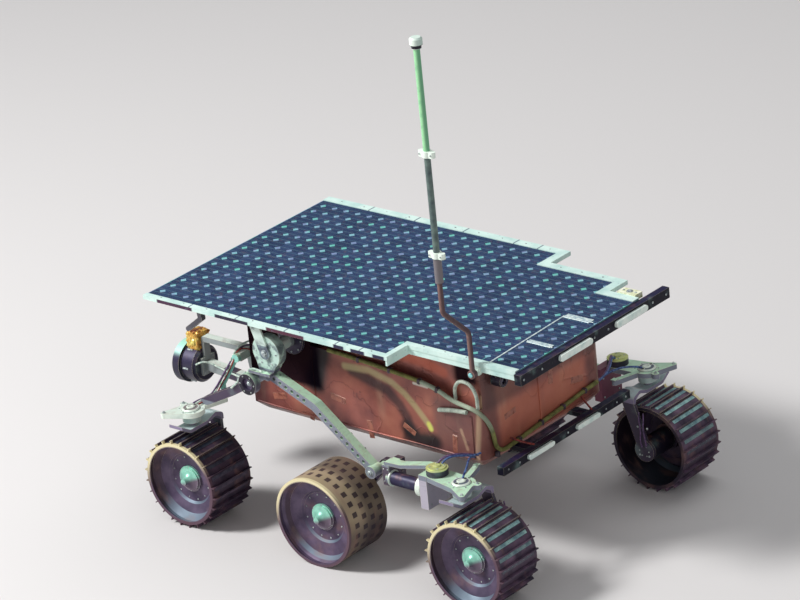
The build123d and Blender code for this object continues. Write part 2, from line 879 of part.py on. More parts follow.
# Skirt under the deck's right edge, open at the mast's bracket.
skirt_gap_rear_x = mast_x - mast_eye_radius - seat_gap
skirt_gap_front_x = mast_x + mast_eye_radius + seat_gap
skirt_y = -deck_side_y + skirt_thickness / 2
step_skirt_x = deck_step_x - skirt_thickness / 2
step_skirt_y = -deck_half_width + deck_step / 2 + skirt_thickness / 2
with BuildPart() as panel_skirt:
    with BuildSketch(Plane.XY.offset(deck_z)):
        for x0, x1 in ((deck_step_x, skirt_gap_rear_x), (skirt_gap_front_x, deck_front_x)):
            with Locations(((x0 + x1) / 2, skirt_y)):
                Rectangle(x1 - x0, skirt_thickness)
        with Locations((step_skirt_x, step_skirt_y)):
            Rectangle(skirt_thickness, deck_step + skirt_thickness)
    extrude(amount=-skirt_depth)
save(panel_skirt, "panel_skirt")

post_spacing_x = (box_front_x - box_rear_x) / 2 - post_inset_x
hook_x, hook_z = hook_points[0]
with BuildPart() as deck_posts:
    with BuildSketch(Plane.XY.offset(box_top_z)):
        with Locations((box_middle_x, 0)):
            with GridLocations(post_spacing_x, 2 * (box_half_width - post_inset_y), 3, 2):
                Rectangle(post_size, post_size)
    extrude(amount=deck_z - box_top_z)
    with BuildSketch(side_plane(-hook_y)):
        bar_profile(hook_points, hook_width)
        with Locations((hook_x, (deck_z + hook_z) / 2)):
            Rectangle(2 * hook_width, deck_z - hook_z)
    extrude(amount=hook_thickness / 2, both=True)
save(deck_posts, "deck_posts")

# Bars across the front, each with two pale round-ended blocks on its face.
bar_z = deck_z - bar_drop
bar_length = 2 * deck_side_y + bar_right_overhang + bar_left_overhang
bar_middle_y = (bar_left_overhang - bar_right_overhang) / 2
with BuildPart() as contact_bar:
    with BuildSketch(Plane.XY.offset(bar_z)):
        with Locations((deck_front_x + bar_depth / 2, bar_middle_y)):
            Rectangle(bar_depth, bar_length)
    extrude(amount=bar_height)
save(contact_bar, "contact_bar")

with BuildPart() as bumper:
    with BuildSketch(Plane.XY.offset(bumper_z)):
        with Locations((bumper_x + bar_depth / 2, 0)):
            Rectangle(bar_depth, 2 * bumper_half_width)
    extrude(amount=bumper_height)
    arm_foot_x = box_front_x - box_edge_cut + bumper_z - box_bottom_z
    for arm_y in (-bumper_arm_y, bumper_arm_y):
        with BuildSketch(side_plane(arm_y)):
            Polygon(
                (bumper_x, bumper_z),
                (bumper_x, bumper_z + bumper_arm_height),
                (arm_foot_x + bumper_arm_height, bumper_z + bumper_arm_height),
                (arm_foot_x, bumper_z),
                align=None,
            )
        extrude(amount=bumper_arm_width / 2, both=True)
save(bumper, "bumper")


def blocks(name, x, z, height, spans):
    with BuildPart() as pair:
        with BuildSketch(Plane.YZ.offset(x)):
            for y0, y1 in spans:
                with Locations(((y0 + y1) / 2, z)):
                    SlotOverall(y1 - y0, height)
        extrude(amount=block_thickness)
    save(pair, name)


blocks(
    "contact_blocks",
    deck_front_x + bar_depth,
    bar_z + bar_height / 2,
    contact_block_height,
    contact_block_spans,
)
blocks(
    "bumper_blocks",
    bumper_x + bar_depth,
    bumper_z + bumper_height / 2,
    bumper_block_height,
    bumper_block_spans,
)

# Differential: a bar across the rear of the box and a thin link down to each rocker's end
# plate, where it stands on a foot.
differential_half = link_y - link_radius
with BuildPart() as differential_bar:
    with BuildSketch(Plane.XY.offset(differential_z - differential_height / 2)):
        with Locations((differential_x, 0)):
            Rectangle(differential_depth, 2 * differential_half)
        with Locations(((differential_x + box_rear_x) / 2, 0)):
            Rectangle(box_rear_x - differential_x, differential_block)
    extrude(amount=differential_height)
save(differential_bar, "differential_bar")


def differential_link(side):
    rise_x = link_foot_x - differential_x
    rise_z = link_foot_z - differential_z
    rod = Plane(origin=(differential_x, side * link_y, differential_z), z_dir=(rise_x, 0, rise_z))
    with BuildPart() as link:
        with BuildSketch(across_plane(differential_x, side, differential_half, differential_z)):
            Circle(link_boss_radius)
        extrude(amount=2 * link_radius)
        with BuildSketch(rod):
            Circle(link_radius)
        extrude(amount=hypot(rise_x, rise_z))
        with BuildSketch(Plane.XY.offset(plate_top_z)):
            with Locations((link_foot_x, side * link_y)):
                Circle(link_foot_radius)
        extrude(amount=link_foot_z + link_foot_radius - plate_top_z)
    save(link, "differential_link_" + side_names[side])


differential_link(RIGHT)
differential_link(LEFT)

# Mast: a fork below the deck's edge, a bent lower tube with a sleeve, an upper tube with
# two clamping collars, and a cap.
eye_inner_y = mast_inner_y - mast_lower_radius
with BuildPart() as mast_bracket:
    with BuildSketch(side_plane(-deck_side_y + skirt_thickness / 2)):
        with Locations((mast_x, (deck_z + mast_hinge_z) / 2)):
            Rectangle(2 * mast_eye_radius, deck_z - mast_hinge_z)
        with Locations((mast_x, mast_hinge_z)):
            Circle(mast_eye_radius)
    extrude(amount=skirt_thickness / 2, both=True)
    with BuildSketch(side_plane(-deck_side_y)):
        with Locations((mast_x, mast_hinge_z)):
            Circle(mast_pin_radius)
    extrude(amount=mast_inner_y + mast_lower_radius + axle_end_gap - deck_side_y)
save(mast_bracket, "mast_bracket")

with BuildPart() as mast_lower:
    with BuildLine() as lower_path:
        FilletPolyline(
            (mast_x, -mast_inner_y, mast_hinge_z),
            (mast_x, -mast_inner_y, mast_knee_z),
            (mast_x, -mast_outer_y, mast_shoulder_z),
            (mast_x, -mast_outer_y, mast_sleeve_z),
            radius=mast_bend_radius,
        )
    with BuildSketch(Plane(origin=(mast_x, -mast_inner_y, mast_hinge_z), z_dir=(0, 0, 1))):
        Circle(mast_lower_radius)
    sweep()
    with BuildSketch(Plane.XY.offset(mast_sleeve_z)):
        with Locations((mast_x, -mast_outer_y)):
            Circle(mast_sleeve_radius)
    extrude(amount=mast_sleeve_length)
    with BuildSketch(side_plane(-eye_inner_y)):
        with Locations((mast_x, mast_hinge_z)):
            Circle(mast_eye_radius)
    extrude(amount=2 * mast_lower_radius)
    with BuildSketch(side_plane(-eye_inner_y)):
        with Locations((mast_x, mast_hinge_z)):
            Circle(mast_pin_radius + pin_clearance)
    extrude(amount=2 * mast_lower_radius, mode=Mode.SUBTRACT)
save(mast_lower, "mast_lower")

cap_z = mast_top_z - cap_disc_height
with BuildPart() as mast_upper:
    with BuildSketch(Plane.XY.offset(mast_joint_z)):
        with Locations((mast_x, -mast_outer_y)):
            Circle(mast_upper_radius)
    extrude(amount=cap_z - cap_neck_height - mast_joint_z)
    for collar_z in (mast_joint_z, mast_collar_z):
        with BuildSketch(Plane.XY.offset(collar_z)):
            with Locations((mast_x, -mast_outer_y)):
                Circle(collar_radius)
                SlotOverall(2 * (lug_offset + lug_radius), 2 * lug_radius)
        extrude(amount=collar_height)
save(mast_upper, "mast_upper")

with BuildPart() as mast_cap:
    for low_z, high_z, radius in (
        (cap_z - cap_neck_height, cap_z, collar_radius),
        (cap_z, mast_top_z, cap_disc_radius),
    ):
        with BuildSketch(Plane.XY.offset(low_z)):
            with Locations((mast_x, -mast_outer_y)):
                Circle(radius)
        extrude(amount=high_z - low_z)
    chamfer(mast_cap.faces().sort_by(Axis.Z)[-1].edges(), cap_disc_radius - collar_radius)
save(mast_cap, "mast_cap")

# Sensor head: a can with a larger ring at its rear, a wrapped box on top, and an open
# arm of two chords hinged behind the box.
with BuildPart() as sensor_head:
    for rear_x, front_x, radius in (
        (head_rear_x, head_rear_x + head_ring_length, head_ring_radius),
        (head_rear_x + head_ring_length, head_front_x, head_radius),
    ):
        with BuildSketch(Plane.YZ.offset(rear_x)):
            with Locations((sensor_y, sensor_z)):
                Circle(radius)
        extrude(amount=front_x - rear_x)
    chamfer(sensor_head.faces().sort_by(Axis.X)[-1].edges(), head_edge_cut)
    with BuildSketch(Plane.YZ.offset(head_rear_x)):
        with Locations((sensor_y, sensor_z)):
            Circle(head_inner_radius)
    extrude(amount=head_ring_length, mode=Mode.SUBTRACT)
save(sensor_head, "sensor_head")

with BuildPart() as sensor_foil:
    with BuildSketch(Plane.XY.offset(sensor_z)):
        with Locations((head_front_x - foil_length / 2, sensor_y)):
            Rectangle(foil_length, foil_width)
    extrude(amount=head_radius + foil_height)
    fillet(sensor_foil.faces().sort_by(Axis.Z)[-1].edges(), foil_corner)
    with BuildSketch(Plane.YZ.offset(head_front_x)):
        with Locations((sensor_y, sensor_z)):
            Circle(head_radius + seat_gap)
    extrude(amount=-foil_length, mode=Mode.SUBTRACT)
save(sensor_foil, "sensor_foil")

with BuildPart() as sensor_arm:
    with BuildSketch(side_plane(sensor_y)):
        bar_profile(
            [(sensor_pivot_x, sensor_pivot_z), (head_front_x + sensor_arm_height / 2, sensor_z)],
            sensor_arm_height,
        )
        bar_profile(
            [
                (sensor_pivot_x, sensor_pivot_z),
                (sensor_chord_end_x, sensor_chord_z),
                (head_front_x + sensor_chord_width / 2, sensor_chord_z),
            ],
            sensor_chord_width,
        )
    extrude(amount=sensor_arm_width / 2, both=True)
    with BuildSketch(side_plane(sensor_y)):
        with Locations((sensor_pivot_x, sensor_pivot_z)):
            Circle(sensor_pin_radius + pin_clearance)
    extrude(amount=sensor_arm_width, both=True, mode=Mode.SUBTRACT)
    with BuildSketch(Plane.YZ.offset(head_front_x)):
        with Locations((sensor_y, sensor_z)):
            Rectangle(head_plate_size, head_plate_size)
        with Locations((sensor_y, (sensor_z + sensor_chord_z) / 2)):
            Rectangle(sensor_arm_width, sensor_chord_z - sensor_z)
    extrude(amount=head_plate_thickness)
save(sensor_arm, "sensor_arm")

ear_y = sensor_arm_width / 2 + sensor_ear_gap
with BuildPart() as sensor_bracket:
    with BuildSketch(Plane.YZ.offset(box_rear_x)):
        with Locations((sensor_y, sensor_pivot_z + sensor_foot_rise)):
            Rectangle(2 * (ear_y + sensor_ear_thickness), sensor_foot_height)
    extrude(amount=-sensor_ear_thickness)
    for low_y in (sensor_y - ear_y - sensor_ear_thickness, sensor_y + ear_y):
        with BuildSketch(side_plane(low_y)):
            bar_profile(
                [(sensor_pivot_x, sensor_pivot_z), (box_rear_x - sensor_arm_height / 2, sensor_pivot_z)],
                sensor_arm_height,
            )
        extrude(amount=-sensor_ear_thickness)
    with BuildSketch(side_plane(sensor_y)):
        with Locations((sensor_pivot_x, sensor_pivot_z)):
            Circle(sensor_pin_radius)
    extrude(amount=ear_y + sensor_ear_thickness, both=True)
save(sensor_bracket, "sensor_bracket")

# Cameras under the deck on the box's front, and the small sensor on the deck's corner.
with BuildPart() as cameras:
    with BuildSketch(Plane.YZ.offset(box_front_x)):
        with Locations((0, camera_z)):
            with GridLocations(2 * camera_half_spacing, 1, 2, 1):
                Circle(camera_radius)
    extrude(amount=camera_length)
    with BuildSketch(Plane.YZ.offset(box_front_x + camera_length - lens_depth)):
        with Locations((0, camera_z)):
            with GridLocations(2 * camera_half_spacing, 1, 2, 1):
                Circle(lens_radius)
    extrude(amount=lens_depth, mode=Mode.SUBTRACT)
save(cameras, "cameras")

with BuildPart() as corner_sensor:
    with BuildSketch(Plane.XY.offset(deck_z)):
        with Locations((corner_sensor_x, left_front_y + border_lip + corner_sensor_width / 2)):
            Rectangle(corner_sensor_length, corner_sensor_width)
    extrude(amount=corner_sensor_height)
save(corner_sensor, "corner_sensor")

# Cables held along the box: one lies on the sloping edge of the right side, goes round
# the front corner and across the front; a short one lies below it, and a loop above.
cable_offset = cable_radius + seat_gap
side_cable_y = -box_half_width - cable_offset
front_cable_x = box_front_x + cable_offset


def bend_radii(points):
    """Radius at each bend: a share of its shorter run over the tangent of half its turn."""
    radii = []
    for before, point, after in zip(points, points[1:], points[2:]):
        run_in = Vector(*point) - Vector(*before)
        run_out = Vector(*after) - Vector(*point)
        half_turn = radians(run_in.get_angle(run_out)) / 2
        radii.append(bend_share * min(run_in.length, run_out.length) / tan(half_turn))
    return radii


def cable_path(points, radii):
    print("bend radii:", [round(radius, 1) for radius in radii])
    return FilletPolyline(*points, radius=radii)


edge_points = [
    *[(x, side_cable_y, z) for x, z in edge_cable_side],
    (front_cable_x, side_cable_y, edge_cable_corner_z),
    *[(front_cable_x, y, z) for y, z in edge_cable_front],
]
edge_radii = bend_radii(edge_points)
edge_radii[len(edge_cable_side) - 1] = box_front_radius + cable_offset
with BuildPart() as edge_cable:
    with BuildLine():
        edge_path = cable_path(edge_points, edge_radii)
    with BuildSketch(Plane(origin=edge_path @ 0, z_dir=edge_path % 0)):
        Circle(cable_radius)
    sweep()
save(edge_cable, "edge_cable")

short_points = [(x, side_cable_y, z) for x, z in short_cable]
loop_points = [(x, inside - box_half_width, z) for x, inside, z in cable_loop]
with BuildPart() as front_cables:
    for points, radius in ((short_points, cable_radius), (loop_points, loop_radius)):
        with BuildLine():
            path = cable_path(points, bend_radii(points))
        with BuildSketch(Plane(origin=path @ 0, z_dir=path % 0)):
            Circle(radius)
        sweep(path=path)
save(front_cables, "front_cables")
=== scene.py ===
# %% [markdown]
# # A six-wheeled planetary rover
# The metal parts of this rover come from a CAD model that is loaded below and stays where it is.
# This lesson dresses it: every surface gets a finish made of Blender's shader nodes, and the small
# things that the CAD model leaves out are added as meshes. Blender works in metres; a length that
# is written in millimetres is multiplied by MM.

# %% Load the CAD model
from math import atan2, cos, degrees, hypot, pi, radians, sin

import bmesh
import bpy
from mathutils import Matrix, Vector, noise


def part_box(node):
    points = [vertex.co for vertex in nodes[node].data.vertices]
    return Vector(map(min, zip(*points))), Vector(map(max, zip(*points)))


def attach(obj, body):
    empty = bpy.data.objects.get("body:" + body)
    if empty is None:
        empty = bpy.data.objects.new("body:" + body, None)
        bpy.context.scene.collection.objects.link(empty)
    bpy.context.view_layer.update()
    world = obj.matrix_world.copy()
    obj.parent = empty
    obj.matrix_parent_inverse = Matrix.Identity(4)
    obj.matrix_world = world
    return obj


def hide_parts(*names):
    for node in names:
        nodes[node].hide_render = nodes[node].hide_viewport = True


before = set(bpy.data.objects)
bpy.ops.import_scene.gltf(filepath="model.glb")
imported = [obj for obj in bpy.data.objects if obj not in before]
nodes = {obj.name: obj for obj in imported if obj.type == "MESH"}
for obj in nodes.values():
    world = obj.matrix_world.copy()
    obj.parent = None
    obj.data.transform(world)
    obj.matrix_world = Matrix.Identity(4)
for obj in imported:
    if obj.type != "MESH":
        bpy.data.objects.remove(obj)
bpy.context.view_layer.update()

MM = 0.001

# %% [markdown]
# ## The camera
# The rover was photographed from above and some distance away, through a long lens, so its far
# side looks almost as large as its near side. A camera can be aimed by eye, but here its place was
# worked out from the deck's corners and the wheels, and is written as the angles round the rover,
# the distance, and a small slide across the view. A long lens far away keeps edges nearly parallel.

# %% Camera
AZIMUTH, ELEVATION, ROLL = radians(42.09), radians(23.14), radians(-5.86)
DISTANCE = 5.8228
AIM = Vector((0.018, 0.0, 0.2))
SLIDE_RIGHT, SLIDE_UP = -0.02801, 0.08977
LENS = 191.68


def put_in_scene(name, data):
    made = bpy.data.objects.new(name, data)
    bpy.context.scene.collection.objects.link(made)
    return made


back = Vector((sin(AZIMUTH) * cos(ELEVATION), -cos(AZIMUTH) * cos(ELEVATION), sin(ELEVATION)))
level_right = Vector((cos(AZIMUTH), sin(AZIMUTH), 0.0))
level_up = back.cross(level_right)
right = level_right * cos(ROLL) + level_up * sin(ROLL)
up = level_up * cos(ROLL) - level_right * sin(ROLL)
camera_data = bpy.data.cameras.new("photo_camera")
camera_data.lens = LENS
camera_data.sensor_width = 36.0
camera_data.clip_start, camera_data.clip_end = 0.1, 50.0
camera = put_in_scene("photo_camera", camera_data)
camera_place = AIM + back * DISTANCE + right * SLIDE_RIGHT + up * SLIDE_UP
turn = Matrix((right, up, back)).transposed().to_4x4()
camera.matrix_world = Matrix.Translation(camera_place) @ turn
bpy.context.scene.camera = camera
print("camera at", [round(v, 3) for v in camera_place])

# %% [markdown]
# ## Floor and light
# The rover stands on a plain pale floor under soft lamps, as in a studio. A large lamp gives soft
# edges to the shadows. The main one hangs on the left, where the light comes from in the photo,
# and the others are weak, so that the deck throws a clear shadow on the box below it.

# %% Floor
FLOOR_REACH = 6.0
floor_mesh = bpy.data.meshes.new("floor")
corners = [(-1, -1), (1, -1), (1, 1), (-1, 1)]
floor_mesh.from_pydata([(x * FLOOR_REACH, y * FLOOR_REACH, 0) for x, y in corners], [], [(0, 1, 2, 3)])
floor = put_in_scene("floor", floor_mesh)
floor_paint = bpy.data.materials.new("floor_paint")
floor_paint.use_nodes = True
floor_shader = floor_paint.node_tree.nodes["Principled BSDF"]
floor_shader.inputs["Base Color"].default_value = (0.72, 0.7, 0.69, 1)
floor_shader.inputs["Roughness"].default_value = 0.8
floor_shader.inputs["Specular IOR Level"].default_value = 0.1
floor_mesh.materials.append(floor_paint)

# %% Lamps
LAMPS = [
    # name, place, size, watts
    ("key", (-2.2, -2.4, 3.4), 1.0, 212.0),
    ("fill", (3.4, -2.2, 1.8), 2.6, 20.0),
    ("top", (0.3, 1.6, 3.4), 2.6, 24.0),
]
for lamp_name, spot, size, watts in LAMPS:
    lamp_data = bpy.data.lights.new(lamp_name, "AREA")
    lamp_data.size = size
    lamp_data.energy = watts
    lamp = put_in_scene(lamp_name, lamp_data)
    lamp.location = spot
    lamp.rotation_mode = "QUATERNION"
    lamp.rotation_quaternion = (Vector(spot) - AIM).to_track_quat("Z", "Y")

world = bpy.data.worlds.new("studio")
world.use_nodes = True
world.node_tree.nodes["Background"].inputs["Color"].default_value = (0.86, 0.88, 0.92, 1)
world.node_tree.nodes["Background"].inputs["Strength"].default_value = 0.32
bpy.context.scene.world = world
bpy.context.scene.view_settings.view_transform = "Standard"
print("lamps:", len(LAMPS), "total watts:", sum(lamp[3] for lamp in LAMPS))

# %% [markdown]
# ## Tools for finishes
# A real surface is never one flat colour. It has patches, dust, scratches and worn edges, at
# several scales. Each finish below starts from the Principled shader and gets its colour, its
# roughness and its bumps from noise. Image textures would need a file for each piece. Noise needs
# none, has no seams, and sticks to the piece because it is read in the piece's own coordinates.
# The colours of the finishes are written as red, green and blue of 0 to 255, as a screen shows them.

# %% Colours and lengths
def screen(red, green, blue):
    """Turns a colour of 0 to 255, as seen on a screen, into the linear values of a shader."""
    linear = []
    for level in (red / 255, green / 255, blue / 255):
        linear.append(level / 12.92 if level <= 0.04045 else ((level + 0.055) / 1.055) ** 2.4)
    return (*linear, 1.0)


def mm(x, y, z):
    """Turns a place in millimetres into one in metres."""
    return Vector((x, y, z)) * MM


# %% A finish that grows node by node
class Finish:
    """One material. Its methods add nodes and return the socket that carries their result."""

    def __init__(self, name, metallic=0.0, coat=0.0, specular=0.5):
        self.material = bpy.data.materials.new(name)
        self.material.use_nodes = True
        self.tree = self.material.node_tree
        self.shader = self.tree.nodes["Principled BSDF"]
        for socket, number in (("Metallic", metallic), ("Coat Weight", coat), ("Coat Roughness", 0.12),
                               ("Specular IOR Level", specular)):
            self.shader.inputs[socket].default_value = number
        coordinates = self.node("TexCoord")
        self.place, self.facing = coordinates.outputs["Object"], coordinates.outputs["Normal"]
        self.colour = None
        self.relief = None

    def feed(self, socket, value):
        if isinstance(value, bpy.types.NodeSocket):
            self.tree.links.new(value, socket)
        else:
            socket.default_value = screen(*value) if socket.type == "RGBA" else value

    def node(self, kind, *values, **settings):
        """Adds a node, sets its settings, and feeds the values to its first sockets."""
        made = self.tree.nodes.new("ShaderNode" + kind)
        for setting, value in settings.items():
            setattr(made, setting, value)
        for socket, value in zip(made.inputs, values):
            self.feed(socket, value)
        return made

    def sum(self, operation, *values):
        return self.node("Math", *values, operation=operation).outputs[0]

    def times(self, first, *others):
        for other in others:
            first = self.sum("MULTIPLY", first, other)
        return first

    def diagonal(self, across, along):
        """The length of the diagonal of two distances at right angles."""
        return self.sum("SQRT", self.sum("ADD", self.times(across, across), self.times(along, along)))

    def vector(self, operation, *values):
        made = self.node("VectorMath", *values, operation=operation)
        return made.outputs["Value" if operation in ("LENGTH", "DOT_PRODUCT") else "Vector"]

    def along(self, axis, vector=None):
        return self.node("SeparateXYZ", self.place if vector is None else vector).outputs["XYZ".index(axis)]

    def faces(self, axis):
        """How far a face of the piece looks along an axis of the piece."""
        return self.along(axis, self.facing)

    def skyward(self):
        """How far a face looks up in the room, whichever way its wheel has turned."""
        return self.along("Z", self.node("NewGeometry").outputs["Normal"])

    def off_middle(self):
        """The distance from the rover's middle plane, alike on both sides."""
        return self.sum("ABSOLUTE", self.along("Y"))

    def noise(self, scale, detail=4.0, stretch=None):
        made = self.node("TexNoise", self.vector("MULTIPLY", self.place, stretch) if stretch else self.place)
        made.inputs["Scale"].default_value = scale
        made.inputs["Detail"].default_value = detail
        return made.outputs[0]

    def crumple(self, scale):
        made = self.node("TexVoronoi", self.place, feature="F1")
        made.inputs["Scale"].default_value = scale
        return made.outputs[0]

    def ease(self, value, low, high):
        """Goes smoothly from 0 at the low value to 1 at the high one."""
        return self.node("MapRange", value, low, high, interpolation_type="SMOOTHSTEP").outputs[0]

    def between(self, value, low, high, soft):
        """Is 1 from the low value to the high one, and fades softly at both."""
        rise, fall = self.ease(value, low - soft, low + soft), self.ease(value, high + soft, high - soft)
        return self.times(rise, fall)

    def mix(self, share, first, second):
        made = self.node("Mix", data_type="RGBA")
        for index, value in ((0, share), (6, first), (7, second)):
            self.feed(made.inputs[index], value)
        return made.outputs[2]

    def paint(self, shade, *masks):
        """Lays a shade over the colour so far, as strongly as all the masks together say."""
        self.colour = self.mix(self.times(*masks), self.colour, shade)

    def steps(self, value, *stops):
        made = self.node("ValToRGB", value)
        elements = made.color_ramp.elements
        while len(elements) < len(stops):
            elements.new(0.5)
        for element, (position, colour) in zip(elements, stops):
            element.position = position
            element.color = screen(*colour)
        return made.outputs[0]

    def edges(self, radius):
        """Is 1 where an edge is sharper than a rounding of this radius in millimetres."""
        rounded = self.node("Bevel", radius * MM, samples=4)
        true_facing = self.node("NewGeometry").outputs["Normal"]
        return self.ease(self.vector("DOT_PRODUCT", rounded.outputs[0], true_facing), 0.995, 0.9)

    def bump(self, height, depth, strength=1.0):
        """Raises the surface by a height of 0 to 1 times a depth in millimetres."""
        made = self.node("Bump")
        made.inputs["Strength"].default_value = strength
        made.inputs["Distance"].default_value = depth * MM
        self.feed(made.inputs["Height"], height)
        if self.relief is not None:
            self.feed(made.inputs["Normal"], self.relief)
        self.relief = made.outputs[0]

    def roughness(self, value, low, high):
        """Noise lies mostly between 0.3 and 0.7, and is stretched from the low to the high roughness."""
        stretched = self.node("MapRange", value, 0.3, 0.7, low, high)
        self.feed(self.shader.inputs["Roughness"], stretched.outputs[0])

    def done(self):
        self.feed(self.shader.inputs["Base Color"], self.colour)
        if self.relief is not None:
            self.feed(self.shader.inputs["Normal"], self.relief)
        print("finish", self.material.name, "of", len(self.tree.nodes), "nodes")
        return self.material


# %% [markdown]
# ## The wheels' metal
# Each wheel is an open drum of bare aluminium with a stepped dish. The dish is mauve; its upward
# faces get a painted blue reflection of the sky, its walls that face forward and the inside of the
# drum get painted shade, and only the upper arc of the rim gets a painted highlight, with painted
# shade on the rest of the rim. The treads get painted shade where they face down, and more on the
# rear wheels. A mirror-like metal would show nothing but the studio, so the metal is partly
# metallic and keeps a colour of its own. The areas are found from the distance to the axle and from
# the depth behind the outer face, so one function serves six wheels.

# %% Wheel metal
def wheel_places():
    """Reads each wheel's axle, side and outer face from the frame."""
    places = {}
    for node in sorted(nodes):
        if node.startswith("wheel_"):
            low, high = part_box(node)
            side = 1 if low.y > 0 else -1
            places[node[len("wheel_"):]] = ((low + high) / 2, side, max(abs(low.y), abs(high.y)))
    return places


wheels = wheel_places()
print("wheels:", *wheels)
RIM_RADIUS, SMOOTH_RADIUS, RIM_EDGE = 60.5 * MM, 64.5 * MM, 4.8 * MM
DISH, DISH_DARK = (106, 90, 116), (66, 54, 80)
DISH_SKY_REFLECTION, DISH_WALL_SHADE = (112, 134, 148), (54, 32, 40)
TREAD, TREAD_DARK, TREAD_SHADE = (118, 92, 116), (52, 42, 62), (44, 34, 52)
DRUM_INSIDE_SHADE, DUST = (26, 20, 34), (158, 120, 108)
RIM_LIT, RIM_SHADE = (246, 234, 188), (98, 72, 86)
REAR_TREAD_SHADE_SHARE = 0.55


def from_axle(look, middle):
    """How far a point is from the axle along x and z."""
    return (look.sum("SUBTRACT", look.along("X"), middle.x), look.sum("SUBTRACT", look.along("Z"), middle.z))


def to_the_light(look, middle):
    """How far a point is from the axle towards the upper left, where the light comes from."""
    x, z = from_axle(look, middle)
    return look.sum("SUBTRACT", z, look.times(x, 0.35))


def wheel_metal(name, middle, outer_y, smooth):
    look = Finish("wheel_metal_" + name, metallic=0.25)
    x, z = from_axle(look, middle)
    radius = look.diagonal(x, z)
    depth = look.sum("SUBTRACT", outer_y, look.off_middle())
    patches, smears = look.noise(46, 7), look.noise(24, 5, stretch=(1.0, 2.5, 1.0))
    look.colour = look.steps(patches, (0.32, DISH_DARK), (0.66, DISH))
    # painted reflection: the dish's upward faces get a blue reflection of the sky
    look.paint(DISH_SKY_REFLECTION, look.ease(look.faces("Z"), 0.2, 0.8), look.ease(radius, 60 * MM, 59 * MM), 0.8)
    # painted shade on the dish's walls that face forward
    look.paint(DISH_WALL_SHADE, look.ease(look.faces("X"), 0.3, 0.85),
               look.between(radius, 49 * MM, 59.5 * MM, 1.0 * MM), 0.85)
    # painted shade, nearly black, inside the drum
    look.paint(DRUM_INSIDE_SHADE, look.ease(depth, 25 * MM, 27 * MM), look.ease(radius, 60.2 * MM, 59.6 * MM), 0.8)
    tread_radius = SMOOTH_RADIUS if smooth else RIM_RADIUS
    on_tread = look.ease(radius, tread_radius - 1.2 * MM, tread_radius - 0.4 * MM)
    tread = look.steps(patches, (0.35, TREAD_DARK), (0.68, TREAD))
    # painted shade on the rear wheels' treads
    if name.startswith("rear"):
        tread = look.mix(REAR_TREAD_SHADE_SHARE, tread, TREAD_SHADE)
    look.paint(tread, on_tread)
    if smooth:
        square_patches(look, look.sum("ARCTAN2", z, x), depth, on_tread)
    # painted shade on tread faces that look down
    look.paint(TREAD_SHADE, look.ease(look.skyward(), 0.35, -0.25), on_tread, 0.7)
    look.paint(DUST, look.ease(smears, 0.52, 0.74), 0.4)
    lit = look.ease(to_the_light(look, middle), 0.0, 0.05)
    rim_start = tread_radius - RIM_EDGE
    look.paint(look.mix(lit, RIM_SHADE, RIM_LIT), look.ease(depth, 5.2 * MM, 3.6 * MM),
               look.ease(radius, rim_start, rim_start + 1.5 * MM), 0.9)
    look.paint(RIM_LIT, look.edges(0.8), 0.5, lit)
    look.bump(look.noise(700, 4), 0.06, 0.5)
    look.bump(patches, 0.4, 0.35)
    look.roughness(smears, 0.42, 0.7)
    return look.done()


# %% [markdown]
# The right middle wheel rolls without cleats. Its tread carries rows of small dark squares, a test
# pattern whose wear can be watched. The squares are a coating with no height, so they are painted:
# a wave round the axle and another across the tread cut the tread in cells, and every other row is
# moved by half a cell, as on the real wheel. The tread's inner half gets painted shade.

# %% Dark squares on the smooth wheel
SQUARE_COLUMNS, SQUARE_ROWS = 26, 4
SQUARE_ROW_PITCH, SQUARE_FIRST_ROW, SQUARE_LENGTH = 16.0, 14.0, 8.5
SMOOTH_TREAD, SMOOTH_TREAD_SHADE, SQUARE = (204, 184, 146), (46, 34, 44), (54, 40, 50)


def square_patches(look, angle, depth, on_tread):
    look.paint(SMOOTH_TREAD, on_tread, 0.75)
    for row in range(SQUARE_ROWS):
        start = (SQUARE_FIRST_ROW + SQUARE_ROW_PITCH * row) * MM
        in_row = look.between(depth, start, start + SQUARE_LENGTH * MM, 0.5 * MM)
        turned = look.sum("ADD", look.times(angle, SQUARE_COLUMNS), pi * (row % 2))
        look.paint(SQUARE, look.ease(look.sum("SINE", turned), 0.0, 0.2), in_row, on_tread, 0.9)
    # painted shade on the tread's inner half
    look.paint(SMOOTH_TREAD_SHADE, look.ease(depth, 26 * MM, 46 * MM), on_tread, 0.62)


# %% [markdown]
# ## Bare metal
# The rocker arms, bogies, yokes and plates are milled aluminium. Their tops are painted pale mint
# and their sides grey, as painted light and shade, with bluish patches and worn bright edges. The
# metal is partly metallic, as on the wheels. One function makes it, and a piece may give some areas
# a colour of their own: the metal's own colour, or painted light or shade where marked. Such an
# area is a box or a disc in the rover's space, so no seam or map is needed.

# %% Aluminium
MINT, MINT_SHADE, BRIGHT = (206, 244, 212), (146, 176, 170), (238, 250, 238)
GREY_SIDE, PLUM, INK = (126, 128, 146), (58, 48, 70), (22, 18, 36)
CREAM, SETTLED_DUST = (244, 236, 200), (168, 120, 100)


def band(look, axis, low, high, soft):
    """Is 1 between two places along an axis, in millimetres, and fades at both."""
    return look.between(look.along(axis), low * MM, high * MM, soft * MM)


def box_mask(look, low, high, soft=0.6):
    """Is 1 inside a box in millimetres, alike on both sides of the rover, and fades at its faces."""
    across = look.between(look.off_middle(), low[1] * MM, high[1] * MM, soft * MM)
    return look.times(band(look, "X", low[0], high[0], soft), across, band(look, "Z", low[2], high[2], soft))


def disc_mask(look, centre, radius, axes="XZ", soft=0.5):
    """Is 1 within a radius of a line that runs across the two named axes, in millimetres."""
    second = look.off_middle() if axes[1] == "Y" else look.along(axes[1])
    distance = look.diagonal(look.sum("SUBTRACT", look.along(axes[0]), centre[0] * MM),
                             look.sum("SUBTRACT", second, centre[1] * MM))
    return look.ease(distance, (radius + soft) * MM, (radius - soft) * MM)


